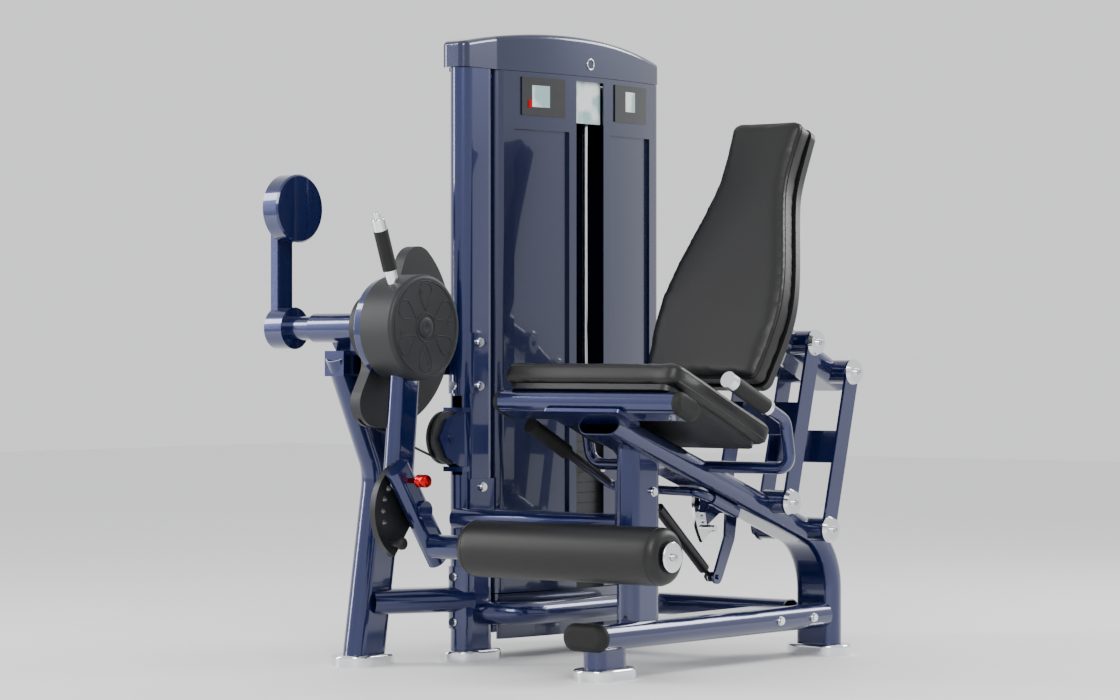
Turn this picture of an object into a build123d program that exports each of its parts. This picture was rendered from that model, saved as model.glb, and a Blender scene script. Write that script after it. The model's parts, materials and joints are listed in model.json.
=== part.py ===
"""Leg extension machine with a weight tower, a counterbalanced lever and a swinging back rest.

Millimetres, +Z up. The user sits facing -Y; the tower stands on the user's right, at -X.
Positions are written in bench coordinates, x from the seat's middle plane and y from the
front foot; the planes below carry them to the origin, which is under the middle of the machine.
"""
import os
from math import atan2, cos, degrees, radians, sin, tan

from build123d import *

os.makedirs("parts", exist_ok=True)

# ---- where the bench coordinates stand ----
MID_X = 289.0
FRONT_Y = -317.5

# ---- frame tube ----
TUBE_LONG = 120.0               # flat-oval tube, across its long side
TUBE_SHORT = 60.0
TUBE_WALL = 3.0
FIT = 0.05                      # radial clearance of a running fit
GAP = 0.4                       # clearance between faces of different bodies

# ---- feet and base ----
FOOT_HEIGHT = 31.0
FOOT_LIP = 24.0                 # how far a foot cap stands out round its tube
BEAM_Z = 100.0                  # middle height of the base beam
BEAM_FRONT = -62.0
REAR_LEG_Y = 864.0
COLUMN_Y = 124.0

# ---- main rail under the seat ----
RAIL_SLOPE = 19.5               # degrees, rear end lower
RAIL_REF = (600.0, 366.0)       # a point on the rail's middle line, y and z
RAIL_FRONT_Y = -20.0
RAIL_BEND = 160.0

# ---- seat ----
SEAT_TILT = 22.5
SEAT_WIDTH = 520.0
SEAT_LENGTH = 415.0
SEAT_PAD = 52.0                 # pad thickness
SEAT_BOARD = 13.0
SEAT_CORNER = (-80.0, 682.0)    # lower front edge of the pad, y and z
CROSS_LONG = 90.0               # flat-oval cross rail under the seat's front
CROSS_SHORT = 50.0
CROSS_LENGTH = 500.0

# ---- back rest and its swing links ----
PIVOT_FRONT = (594.0, 386.0)    # lower front pivot, y and z
PIVOT_STEP = (165.0, -71.5)     # from a front pivot to the rear pivot of the same tube
LINK = (103.0, 382.0)           # from a lower pivot to the upper pivot
LINK_WIDTH = 52.0
LINK_THICK = 7.0
LINK_INNER = 95.0               # inner face of a link plate, from the middle plane
PIN_R = 10.0
BUSH_R = 29.0
CAP_R = 32.0
BACK_RECLINE = 24.7
BACK_FOOT = (353.0, 680.0)      # lower edge of the back pad's front face
BACK_LENGTH = 695.0
BACK_PAD = 56.0
BACK_BOARD = 20.0
BACK_WIDTHS = ((0, 332), (190, 372), (330, 318), (480, 232), (695, 212))

# ---- lever side ----
KNEE = (-135.0, 802.0)          # the knee axis, y and z
SHAFT_R = 20.0
CAM_X = -556.0                  # middle plane of the cam, the cable and the stack
CAM_R = 235.0
CAM_THICK = 30.0
CAM_HUB_R = 85.0
CABLE_R = 3.0
GROOVE_R = 226.0                # bottom of the cam's cable groove
DISC_R = 117.0
COVER_R = 123.5
COVER_FROM = -515.0
COVER_TO = -420.0
HOUSING_FROM = -763.0
HOUSING_TO = -600.0
HOUSING_R = 35.0
COUNTER_R = 81.5                # counterweight disc
COUNTER_REACH = 286.0
ARM_LENGTH = 424.0
ARM_LEAN = 5.6
ARM_X = -475.0
ARM_LONG = 85.0
ARM_SHORT = 42.0
HUB_PIN_R = 12.5
START_HOLES_R = 86.0
START_OUTER_R = 116.0
START_THICK = 16.0
CARRIER_X = -412.0
CARRIER_LONG = 66.0
CARRIER_SHORT = 40.0
CARRIER_DROP = 55.0             # degrees below level, towards the rear
ROLLER = (-137.0, 296.0)
ROLLER_R = 68.0
ROLLER_HALF = 288.0
AXLE_R = 23.0
LEG_X = -680.0
LEG_POINTS = ((-63.0, 0.0), (13.0, 462.0), (-124.0, 748.0))

# ---- tower ----
POST_X = -560.0
POST_Y = 195.0
POST_TOP = 1430.0
TOWER_MID_Y = 585.0
TOWER_HALF = 330.0
FACE_X = -498.0                 # the bowed face at its middle
BOW_R = 1700.0
SEAM_X = -590.0                 # where the near and the far shroud meet
BACK_X = -680.0
SHELL = 3.0
SKIRT_BOTTOM = 48.0
SHROUD_BOTTOM = 160.0
SHROUD_TOP = POST_TOP
SLOT_WIDTH = 110.0
PLATE_SIZE = (84.0, 240.0)      # a weight plate, x and y
PLATE_PITCH = 25.4
PLATE_THICK = 24.6
RESTING = 13
LIFTED = 9
STACK_BOTTOM = 116.0
ROD_SPACING = 110.0
ROD_R = 9.5
TOP_PULLEY_R = 42.0
IDLER = (100.0, 540.0)
IDLER_R = 61.0
PULLEY_WIDTH = 22.0
PULLEY_TOP_Z = POST_TOP - 45.0


def side(x):
    """Plane seen from +X: local coordinates are bench y and z."""
    return Plane(origin=(MID_X + x, FRONT_Y, 0), x_dir=(0, 1, 0), z_dir=(1, 0, 0))


def front(y):
    """Plane seen from -Y: local coordinates are bench x and z."""
    return Plane(origin=(MID_X, FRONT_Y + y, 0), x_dir=(1, 0, 0), z_dir=(0, -1, 0))


def plan(z):
    """Plane seen from above: local coordinates are bench x and y."""
    return Plane(origin=(MID_X, FRONT_Y, z))


def at(x, y, z):
    return Vector(MID_X + x, FRONT_Y + y, z)


def polar(centre, radius, angle):
    """Point of a circle in a side plane, angle from the rear, upwards."""
    return (centre[0] + radius * cos(radians(angle)), centre[1] + radius * sin(radians(angle)))


def flat_oval(width, height, wall=TUBE_WALL, rotation=0):
    SlotOverall(width, height, rotation=rotation)
    SlotOverall(width - 2 * wall, height - 2 * wall, rotation=rotation, mode=Mode.SUBTRACT)


def rail_z(y):
    return RAIL_REF[1] + (RAIL_REF[0] - y) * tan(radians(RAIL_SLOPE))


def bar(x_from, x_to, centre, radius, bore=0, mode=Mode.ADD):
    """Round bar or ring along X inside the current part."""
    with BuildSketch(side(x_from)) as profile:
        with Locations(centre):
            Circle(radius)
            if bore:
                Circle(bore, mode=Mode.SUBTRACT)
    extrude(profile.sketch, amount=x_to - x_from, mode=mode)


def box(x, y, z, mode=Mode.ADD):
    """Box between bench limits, each a pair, inside the current part."""
    with Locations(at(sum(x) / 2, sum(y) / 2, sum(z) / 2)):
        Box(x[1] - x[0], y[1] - y[0], z[1] - z[0], mode=mode)


def save(builder, name):
    builder.part.label = name
    export_step(builder.part, f"parts/{name}.step")


# ================= frame =================
rail_corner = (REAR_LEG_Y, rail_z(REAR_LEG_Y))
rail_dir = Vector(0, cos(radians(RAIL_SLOPE)), -sin(radians(RAIL_SLOPE)))


def rail_path():
    with BuildLine(side(0)) as line:
        FilletPolyline((RAIL_FRONT_Y, rail_z(RAIL_FRONT_Y)), rail_corner,
                       (REAR_LEG_Y, FOOT_HEIGHT - TUBE_WALL), radius=RAIL_BEND)
    return line


rail_start = Plane(at(0, RAIL_FRONT_Y, rail_z(RAIL_FRONT_Y)), x_dir=(1, 0, 0), z_dir=rail_dir)

# the rail's outer form, used to trim what meets it
with BuildPart() as rail_form:
    rail_line = rail_path()
    with BuildSketch(rail_start):
        SlotOverall(TUBE_LONG, TUBE_SHORT)
    sweep(path=rail_line.wires()[0])

SLEEVE_X = 30.0
SLEEVE_R = 15.0
LEVER_R = 11.0
SLEEVE_Y = (368.0, 462.0)
SLEEVE_DROP = TUBE_SHORT / 2 + SLEEVE_R - 1.0
sleeve_start = at(SLEEVE_X, SLEEVE_Y[0], rail_z(SLEEVE_Y[0]) - SLEEVE_DROP / cos(radians(RAIL_SLOPE)))
SLEEVE_LENGTH = (SLEEVE_Y[1] - SLEEVE_Y[0]) / cos(radians(RAIL_SLOPE))

with BuildPart() as main_rail:
    with BuildSketch(rail_start):
        flat_oval(TUBE_LONG, TUBE_SHORT)
    sweep(path=rail_line.wires()[0])
    with BuildSketch(Plane(sleeve_start, x_dir=(1, 0, 0), z_dir=rail_dir)):
        Circle(SLEEVE_R)
    extrude(amount=SLEEVE_LENGTH)
    with BuildSketch(Plane(sleeve_start, x_dir=(1, 0, 0), z_dir=rail_dir)):
        Circle(LEVER_R + FIT)
    extrude(amount=SLEEVE_LENGTH, mode=Mode.SUBTRACT)
save(main_rail, "main_rail")

# base beam with the front stub leg welded under it
with BuildPart() as base_beam:
    with BuildSketch(front(BEAM_FRONT)):
        with Locations((0, BEAM_Z)):
            flat_oval(TUBE_LONG, TUBE_SHORT)
    extrude(amount=-(REAR_LEG_Y - BEAM_FRONT))
    add(rail_form.part, mode=Mode.SUBTRACT)
    with BuildSketch(plan(FOOT_HEIGHT - TUBE_WALL)):
        flat_oval(TUBE_LONG, TUBE_SHORT, rotation=90)
    extrude(amount=BEAM_Z - TUBE_SHORT / 2 - FOOT_HEIGHT + 2 * TUBE_WALL)
    box((-90, 90), (REAR_LEG_Y - TUBE_SHORT / 2, REAR_LEG_Y + 90), (0, 200), mode=Mode.SUBTRACT)
save(base_beam, "base_beam")

with BuildPart() as column:
    with BuildSketch(plan(BEAM_Z + TUBE_SHORT / 2)):
        with Locations((0, COLUMN_Y)):
            flat_oval(TUBE_LONG, TUBE_SHORT, rotation=90)
    extrude(amount=rail_z(0) - BEAM_Z)
    split(bisect_by=Plane(at(0, COLUMN_Y, rail_z(COLUMN_Y) - TUBE_SHORT / 2 / cos(radians(RAIL_SLOPE))),
                          x_dir=(1, 0, 0), z_dir=(0, sin(radians(RAIL_SLOPE)), cos(radians(RAIL_SLOPE)))),
          keep=Keep.BOTTOM)
save(column, "column")

# chrome foot caps: a low tray round the end of each leg
FEET = ((0, 0, 90), (0, REAR_LEG_Y, 0), (LEG_X, LEG_POINTS[0][0], 90), (POST_X, POST_Y, 90))
with BuildPart() as foot_caps:
    for x, y, turn in FEET:
        with BuildSketch(plan(0)):
            with Locations((x, y)):
                SlotOverall(TUBE_LONG + 2 * FOOT_LIP, TUBE_SHORT + 2 * FOOT_LIP, rotation=turn)
        extrude(amount=FOOT_HEIGHT - TUBE_WALL)
    fillet(foot_caps.faces().filter_by(Axis.Z).group_by(Axis.Z)[-1].edges(), 7)
save(foot_caps, "foot_caps")

# ================= seat =================
seat_along = Vector(0, cos(radians(SEAT_TILT)), -sin(radians(SEAT_TILT)))
seat_up = Vector(0, sin(radians(SEAT_TILT)), cos(radians(SEAT_TILT)))


def seat_plane(lift):
    """Plane along the seat: local x across, local y towards the rear, from the pad's lower front edge."""
    origin = at(0, *SEAT_CORNER) + seat_up * lift
    return Plane(origin, x_dir=(1, 0, 0), z_dir=seat_up)


with BuildPart() as seat_pad:
    with BuildSketch(seat_plane(0)):
        with Locations((0, SEAT_LENGTH / 2)):
            RectangleRounded(SEAT_WIDTH, SEAT_LENGTH, 32)
    extrude(amount=SEAT_PAD)
    fillet(seat_pad.faces().sort_by(Axis.Z)[-1].edges(), 14)
save(seat_pad, "seat_pad")

with BuildPart() as seat_board:
    with BuildSketch(seat_plane(-SEAT_BOARD)):
        with Locations((0, SEAT_LENGTH / 2 - 5)):
            RectangleRounded(SEAT_WIDTH - 60, SEAT_LENGTH - 50, 25)
    extrude(amount=SEAT_BOARD)
save(seat_board, "seat_board")

CROSS_SETBACK = 30.0 + CROSS_LONG / 2 - 15
cross_centre = (at(0, *SEAT_CORNER) + seat_along * CROSS_SETBACK
                - seat_up * (SEAT_BOARD + CROSS_SHORT / 2))
cross_y = cross_centre.Y - FRONT_Y
cross_z = cross_centre.Z
FLANGE = (220.0, 90.0, 8.0)
with BuildPart() as seat_cross_rail:
    with BuildSketch(side(-CROSS_LENGTH / 2)):
        with Locations(Location((cross_y, cross_z), -SEAT_TILT)):
            flat_oval(CROSS_LONG, CROSS_SHORT)
    extrude(amount=CROSS_LENGTH)
    with BuildSketch(Plane(cross_centre - seat_up * (CROSS_SHORT / 2 + FLANGE[2] - 0.5),
                           x_dir=(1, 0, 0), z_dir=seat_up)):
        RectangleRounded(FLANGE[0], FLANGE[1], 10)
    extrude(amount=FLANGE[2])
    add(rail_form.part, mode=Mode.SUBTRACT)
save(seat_cross_rail, "seat_cross_rail")

# hand grips on bent tubes, bolted to blocks on the rail's sides
HANDLE_X = 290.0
HANDLE_TUBE_R = 14.0
GRIP_R = 19.0
GRIP_LENGTH = 135.0
HANDLE_FRONT = (95.0, 676.0)
HANDLE_BEND = (300.0, 589.0)
HANDLE_LOW = (322.0, 478.0)
handle_dir = Vector(0, HANDLE_FRONT[0] - HANDLE_BEND[0], HANDLE_FRONT[1] - HANDLE_BEND[1]).normalized()

with BuildPart() as handle_tubes:
    for hand in (1, -1):
        with BuildLine() as handle_line:
            FilletPolyline(at(hand * 50, *HANDLE_LOW), at(hand * HANDLE_X, *HANDLE_LOW),
                           at(hand * HANDLE_X, *HANDLE_BEND), at(hand * HANDLE_X, *HANDLE_FRONT),
                           radius=34)
        with BuildSketch(Plane(at(hand * 50, *HANDLE_LOW), z_dir=(hand, 0, 0))):
            Circle(HANDLE_TUBE_R)
        sweep(path=handle_line.wires()[0])
        with BuildSketch(Plane(at(hand * HANDLE_X, *HANDLE_FRONT), z_dir=handle_dir)):
            Circle(GRIP_R)
        extrude(amount=22)
        with BuildSketch(Plane(at(hand * HANDLE_X, *HANDLE_FRONT) - handle_dir * (GRIP_LENGTH + 12),
                               z_dir=handle_dir)):
            Circle(GRIP_R)
        extrude(amount=12)
    add(rail_form.part, mode=Mode.SUBTRACT)
save(handle_tubes, "handle_tubes")

with BuildPart() as handle_grips:
    for hand in (1, -1):
        with BuildSketch(Plane(at(hand * HANDLE_X, *HANDLE_FRONT) - handle_dir * GRIP_LENGTH,
                               z_dir=handle_dir)):
            Circle(GRIP_R)
            Circle(HANDLE_TUBE_R, mode=Mode.SUBTRACT)
        extrude(amount=GRIP_LENGTH)
save(handle_grips, "handle_grips")

# ================= back rest and swing links =================
PIVOT_REAR = (PIVOT_FRONT[0] + PIVOT_STEP[0], PIVOT_FRONT[1] + PIVOT_STEP[1])
UPPER_FRONT = (PIVOT_FRONT[0] + LINK[0], PIVOT_FRONT[1] + LINK[1])
UPPER_REAR = (PIVOT_REAR[0] + LINK[0], PIVOT_REAR[1] + LINK[1])
LINK_OUTER = LINK_INNER + LINK_THICK
BUSH_END = LINK_INNER - GAP
FAR_BUSH_END = 66.0             # the far front bush is short: the lock arm's hub sits beside it
LOCK_ARM_X = -75.5
PIN_FROM = 63.0
CAP_HEIGHT = 10.0


def pivot_caps(centres, pin_from):
    """Pins with domed caps and their bushes on both sides of a tube."""
    for centre in centres:
        for hand in (1, -1):
            bar(hand * pin_from, hand * (LINK_OUTER + GAP), centre, PIN_R)
            with BuildSketch(side(hand * (LINK_OUTER + GAP))) as cap:
                with Locations(centre):
                    Circle(CAP_R)
            extrude(cap.sketch, amount=hand * CAP_HEIGHT, taper=25)
            bar(hand * (LINK_OUTER + GAP + CAP_HEIGHT), hand * (LINK_OUTER + CAP_HEIGHT + 6), centre, 8)


with BuildPart() as lower_pivots:
    pivot_caps((PIVOT_FRONT, PIVOT_REAR), PIN_FROM)
    for centre in (PIVOT_FRONT, PIVOT_REAR):
        for hand in (1, -1):
            short = hand < 0 and centre == PIVOT_FRONT
            bar(hand * 30, hand * (FAR_BUSH_END if short else BUSH_END), centre, BUSH_R)
    add(rail_form.part, mode=Mode.SUBTRACT)
save(lower_pivots, "lower_pivots")

CROSS_PLATE = (80.0, 8.0)
PLATE_SHARE = 0.52              # the cross plate's place along the link
link_angle = degrees(atan2(LINK[1], LINK[0]))
link_length = (LINK[0] ** 2 + LINK[1] ** 2) ** 0.5


def link_pair(lower):
    """Two link plates joined by a cross plate."""
    middle = (lower[0] + LINK[0] / 2, lower[1] + LINK[1] / 2)
    upper = (lower[0] + LINK[0], lower[1] + LINK[1])
    cross = (lower[0] + LINK[0] * PLATE_SHARE, lower[1] + LINK[1] * PLATE_SHARE)
    for hand in (1, -1):
        with BuildSketch(side(hand * LINK_INNER)) as plate:
            with Locations(Location(middle, link_angle)):
                SlotCenterToCenter(link_length, LINK_WIDTH)
            with Locations(lower, upper):
                Circle(PIN_R + FIT, mode=Mode.SUBTRACT)
        extrude(plate.sketch, amount=hand * LINK_THICK)
    with BuildSketch(side(-LINK_INNER)) as cross_profile:
        with Locations(Location(cross, link_angle)):
            Rectangle(*CROSS_PLATE)
    extrude(cross_profile.sketch, amount=2 * LINK_INNER)


with BuildPart() as front_links:
    link_pair(PIVOT_FRONT)
save(front_links, "front_links")

with BuildPart() as rear_links:
    link_pair(PIVOT_REAR)
save(rear_links, "rear_links")

# lock arm: hub, web and gas-spring arm on the far front pivot
SECTOR_HOLES_R = 130.0
SECTOR_BAND = (107.0, 156.0)
SECTOR_FROM = 158.0
SECTOR_TO = 218.0
SECTOR_THICK = 9.0
HOLE_STEP = 7.5
LOCK_HOLE_R = 7.0
LOCK_ANGLE = 184.9
SPRING_LOW = (533.0, 204.0)
SPRING_HIGH = (116.0, 552.0)
SPRING_X = -92.0
SPRING_PIN_R = 6.0
with BuildPart() as lock_arm:
    with BuildSketch(side(LOCK_ARM_X)):
        with BuildLine():
            Polyline((570, 386), (564, 300), (517, 204), (549, 196), (602, 292), (620, 386), close=True)
        make_face()
        with Locations(SPRING_LOW):
            Circle(17)
        with Locations(PIVOT_FRONT):
            Circle(BUSH_R)
        with BuildLine():
            Polyline(PIVOT_FRONT, polar(PIVOT_FRONT, 120, 176), polar(PIVOT_FRONT, 120, 208), close=True)
        make_face()
        with Locations(PIVOT_FRONT):
            Circle(PIN_R + FIT, mode=Mode.SUBTRACT)
        with Locations(SPRING_LOW):
            Circle(SPRING_PIN_R, mode=Mode.SUBTRACT)
    extrude(amount=LINK_THICK)
    bar(-LINK_INNER, LOCK_ARM_X, PIVOT_FRONT, BUSH_R - 3, bore=PIN_R + FIT)
    bar(SPRING_X - 14, LOCK_ARM_X + LINK_THICK + 5, SPRING_LOW, SPRING_PIN_R)
save(lock_arm, "lock_arm")

with BuildPart() as lock_sector:
    with BuildSketch(side(LOCK_ARM_X + LINK_THICK)):
        with Locations(PIVOT_FRONT):
            Circle(SECTOR_BAND[1])
            Circle(SECTOR_BAND[0], mode=Mode.SUBTRACT)
        with BuildLine():
            Polyline(PIVOT_FRONT, polar(PIVOT_FRONT, 260, SECTOR_FROM), polar(PIVOT_FRONT, 260, SECTOR_TO),
                     close=True)
        make_face(mode=Mode.INTERSECT)
        for step in range(-2, 3):
            with Locations(polar(PIVOT_FRONT, SECTOR_HOLES_R, LOCK_ANGLE + step * HOLE_STEP)):
                Circle(LOCK_HOLE_R, mode=Mode.SUBTRACT)
    extrude(amount=-SECTOR_THICK)
    add(lock_arm.part, mode=Mode.SUBTRACT)
    bar(LOCK_ARM_X + LINK_THICK, LOCK_ARM_X + LINK_THICK + 22,
        polar(PIVOT_FRONT, SECTOR_BAND[0] + 12, SECTOR_TO - 6), 8)
save(lock_sector, "lock_sector")

# back carrier: a flat-oval tube between the upper pivots, with a disc flange on the back board
carrier_dir = Vector(0, PIVOT_STEP[0], PIVOT_STEP[1]).normalized()
back_up = Vector(0, sin(radians(BACK_RECLINE)), cos(radians(BACK_RECLINE)))
back_out = Vector(0, cos(radians(BACK_RECLINE)), -sin(radians(BACK_RECLINE)))
board_point = at(0, *BACK_FOOT) + back_out * (BACK_PAD + BACK_BOARD)
upper_point = at(0, *UPPER_FRONT)
FLANGE_DISC = (52.0, 8.0)
reach = (board_point - upper_point).dot(back_out) / carrier_dir.dot(back_out)
carrier_front = upper_point + carrier_dir * (reach + FLANGE_DISC[1])
CARRIER_REAR = 45.0             # how far the tube runs past the rear pivot
carrier_length = (at(0, *UPPER_REAR) + carrier_dir * CARRIER_REAR - carrier_front).length
with BuildPart() as carrier_form:
    with BuildSketch(Plane(carrier_front, x_dir=(1, 0, 0), z_dir=carrier_dir)):
        SlotOverall(TUBE_LONG, TUBE_SHORT)
    extrude(amount=carrier_length)
with BuildPart() as back_carrier:
    with BuildSketch(Plane(carrier_front, x_dir=(1, 0, 0), z_dir=carrier_dir)):
        flat_oval(TUBE_LONG, TUBE_SHORT)
    extrude(amount=carrier_length)
    with BuildSketch(Plane(upper_point + carrier_dir * reach, x_dir=(1, 0, 0), z_dir=back_out)):
        Circle(FLANGE_DISC[0])
    extrude(amount=FLANGE_DISC[1] + 1)
    with BuildSketch(Plane(carrier_front + carrier_dir * carrier_length, x_dir=(1, 0, 0),
                           z_dir=carrier_dir)):
        SlotOverall(TUBE_LONG, TUBE_SHORT)
    extrude(amount=18)
    fillet(back_carrier.faces().sort_by(Axis(upper_point, carrier_dir))[-1].edges(), 14)
save(back_carrier, "back_carrier")

with BuildPart() as upper_pivots:
    pivot_caps((UPPER_FRONT, UPPER_REAR), PIN_FROM)
    for centre in (UPPER_FRONT, UPPER_REAR):
        for hand in (1, -1):
            bar(hand * 30, hand * BUSH_END, centre, BUSH_R)
    add(carrier_form.part, mode=Mode.SUBTRACT)
save(upper_pivots, "upper_pivots")


def back_outline(inset):
    """The hourglass outline, local x across and local y up the back."""
    right = [(width / 2 - inset, height) for height, width in BACK_WIDTHS]
    right[0] = (right[0][0], right[0][1] + inset)
    right[-1] = (right[-1][0], right[-1][1] - inset)
    with BuildLine() as outline:
        edge = Spline(*right, tangents=((0.15, 1), (0, 1)))
        mirror(edge, about=Plane.YZ)
        Line(right[0], (-right[0][0], right[0][1]))
        Line(right[-1], (-right[-1][0], right[-1][1]))
    make_face(outline.edges())


def back_plane(depth):
    return Plane(at(0, *BACK_FOOT) + back_out * depth, x_dir=(1, 0, 0), z_dir=-back_out)


with BuildPart() as back_pad:
    with BuildSketch(back_plane(BACK_PAD)) as back_face:
        back_outline(0)
        fillet(back_face.vertices(), 26)
    extrude(amount=BACK_PAD)
save(back_pad, "back_pad")

with BuildPart() as back_board:
    with BuildSketch(back_plane(BACK_PAD + BACK_BOARD)) as board_face:
        back_outline(6)
        fillet(board_face.vertices(), 24)
    extrude(amount=BACK_BOARD)
save(back_board, "back_board")

# gas spring between the lock arm and a stud beside the rail
spring_dir = Vector(0, SPRING_HIGH[0] - SPRING_LOW[0], SPRING_HIGH[1] - SPRING_LOW[1])
spring_length = spring_dir.length
spring_dir = spring_dir.normalized()
spring_base = at(SPRING_X, *SPRING_LOW)
CYLINDER_R = 13.5
CYLINDER_BORE = 10.0
CYLINDER = (32.0, 270.0)        # its ends, from the lower pin
ROD_TRAVEL = 60.0
SPRING_ROD_R = 4.4
STUD_R = 5.0
EYE_CLEARANCE = 7.0             # the open pivot: the eye never touches its stud


def spring_bar(start, end, radius, mode=Mode.ADD):
    with BuildSketch(Plane(spring_base + spring_dir * start, x_dir=(1, 0, 0), z_dir=spring_dir)) as profile:
        Circle(radius)
    extrude(profile.sketch, amount=end - start, mode=mode)


EYE_X = (SPRING_X - 7, SPRING_X + 7)
with BuildPart() as gas_cylinder:
    spring_bar(CYLINDER[0], CYLINDER[1], CYLINDER_R)
    spring_bar(8, CYLINDER[0] + 1, 6)
    bar(EYE_X[0], EYE_X[1], SPRING_LOW, 12)
    bar(EYE_X[0], EYE_X[1], SPRING_LOW, SPRING_PIN_R + FIT, mode=Mode.SUBTRACT)
    spring_bar(CYLINDER[0] + 8, CYLINDER[1] - 10, CYLINDER_BORE, mode=Mode.SUBTRACT)
    spring_bar(CYLINDER[1] - 11, CYLINDER[1] + 1, SPRING_ROD_R + FIT, mode=Mode.SUBTRACT)
save(gas_cylinder, "gas_cylinder")

EYE_R = STUD_R + EYE_CLEARANCE + 4
with BuildPart() as gas_rod:
    spring_bar(CYLINDER[1] - 14 - ROD_TRAVEL, spring_length - EYE_R + 2, SPRING_ROD_R)
    bar(EYE_X[0] + 2, EYE_X[1] - 2, SPRING_HIGH, EYE_R)
    bar(EYE_X[0] + 2, EYE_X[1] - 2, SPRING_HIGH, STUD_R + EYE_CLEARANCE, mode=Mode.SUBTRACT)
save(gas_rod, "gas_rod")

# back release lever, turning in the sleeve under the rail
LEVER_REACH = -224.0
lever_tip = (17.0, 572.0)
lever_end = sleeve_start + rail_dir * (SLEEVE_LENGTH + 8)
LEVER_OUT = 46.0
lever_out = sleeve_start - rail_dir * LEVER_OUT
lever_turn = (lever_out.Y - FRONT_Y, lever_out.Z + 7)
tip_dir = Vector(0, lever_tip[0] - lever_turn[0], lever_tip[1] - lever_turn[1]).normalized()
with BuildPart() as release_lever:
    with BuildLine() as lever_line:
        FilletPolyline(lever_end, lever_out, at(LEVER_REACH, *lever_turn), at(LEVER_REACH, *lever_tip),
                       radius=30)
    with BuildSketch(Plane(lever_end, x_dir=(1, 0, 0), z_dir=-rail_dir)):
        Circle(LEVER_R)
    sweep(path=lever_line.wires()[0])
    with BuildSketch(Plane(at(LEVER_REACH, *lever_tip), z_dir=tip_dir)):
        Circle(GRIP_R - 1)
    extrude(amount=9)
    with BuildSketch(Plane(at(LEVER_REACH, *lever_tip) - tip_dir * 138, z_dir=tip_dir)):
        Circle(GRIP_R - 1)
    extrude(amount=8)
    with BuildSketch(Plane(at(LEVER_REACH, *lever_tip) - tip_dir * 129.9, z_dir=tip_dir)):
        Circle(GRIP_R - 1)
        Circle(LEVER_R + 0.05, mode=Mode.SUBTRACT)
    extrude(amount=129.8)
save(release_lever, "release_lever")

# lock pin block under the rail; the pin slides along X into the sector
lock_centre = polar(PIVOT_FRONT, SECTOR_HOLES_R, LOCK_ANGLE)
LOCK_PIN_R = 6.0
PIN_BLOCK = (40.0, 24.0)
SECTOR_FACE = LOCK_ARM_X + LINK_THICK
# pieces welded to the rail: the lock pin's block and the gas spring's stud
with BuildPart() as rail_fittings:
    box((-58, 8), (lock_centre[0] - PIN_BLOCK[0] / 2, lock_centre[0] + PIN_BLOCK[0] / 2),
        (lock_centre[1] - PIN_BLOCK[1] / 2, lock_centre[1] + 30))
    bar(SPRING_X - 8, -45, SPRING_HIGH, STUD_R)
    bar(SPRING_X - 16, SPRING_X - 8, SPRING_HIGH, STUD_R + EYE_CLEARANCE + 3)
    add(rail_form.part, mode=Mode.SUBTRACT)
    bar(-60, 10, lock_centre, LOCK_PIN_R + FIT, mode=Mode.SUBTRACT)
save(rail_fittings, "rail_fittings")

with BuildPart() as lock_pin:
    bar(SECTOR_FACE + 1, 12, lock_centre, LOCK_PIN_R)
save(lock_pin, "lock_pin")

# ================= lever side =================
knee_y, knee_z = KNEE

leg_y, leg_z = LEG_POINTS[2]
with BuildPart() as lever_leg:
    with BuildLine(side(LEG_X)) as leg_line:
        FilletPolyline(*LEG_POINTS, radius=150)
    leg_dir = Vector(0, LEG_POINTS[1][0] - LEG_POINTS[0][0], LEG_POINTS[1][1] - LEG_POINTS[0][1])
    with BuildSketch(Plane(at(LEG_X, *LEG_POINTS[0]), x_dir=(1, 0, 0), z_dir=leg_dir)):
        flat_oval(TUBE_LONG, TUBE_SHORT, rotation=90)
    sweep(path=leg_line.wires()[0])
    box((LEG_X - 60, LEG_X + 60), (-200, 60), (-40, FOOT_HEIGHT - TUBE_WALL), mode=Mode.SUBTRACT)
    bar(HOUSING_FROM, HOUSING_TO, KNEE, HOUSING_R)
    with BuildSketch(side(LEG_X - TUBE_SHORT / 2)):
        with BuildLine():
            Polyline(LEG_POINTS[2], (KNEE[0] - 30, KNEE[1]), (KNEE[0] + 30, KNEE[1]),
                     (leg_y + 45, leg_z), (leg_y + 30, leg_z - 60), (leg_y - 40, leg_z - 60),
                     (leg_y - 40, leg_z), close=True)
        make_face()
    extrude(amount=TUBE_SHORT)
    bar(HOUSING_FROM, HOUSING_TO, KNEE, SHAFT_R + FIT, mode=Mode.SUBTRACT)
save(lever_leg, "lever_leg")

with BuildPart() as leg_form:
    with BuildSketch(Plane(at(LEG_X, *LEG_POINTS[0]), x_dir=(1, 0, 0), z_dir=leg_dir)):
        SlotOverall(TUBE_LONG, TUBE_SHORT, rotation=90)
    sweep(path=leg_line.wires()[0])

with BuildPart() as housing_form:
    bar(HOUSING_FROM, HOUSING_TO, KNEE, HOUSING_R)

# the post, the rear post and the floor beam of the tower
REAR_POST = (-600.0, 858.0)
FLOOR_BEAM = (64.0, 104.0)
FLOOR_BEAM_X = CAM_X - 14.0
FLOOR_BEAM_WIDTH = 58.0
WINDOW = (450.0, 640.0)         # where the idler and the cable enter the post
with BuildPart() as post_form:
    with BuildSketch(plan(0)):
        with Locations((POST_X, POST_Y)):
            SlotOverall(TUBE_LONG, TUBE_SHORT, rotation=90)
    extrude(amount=POST_TOP)

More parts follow.
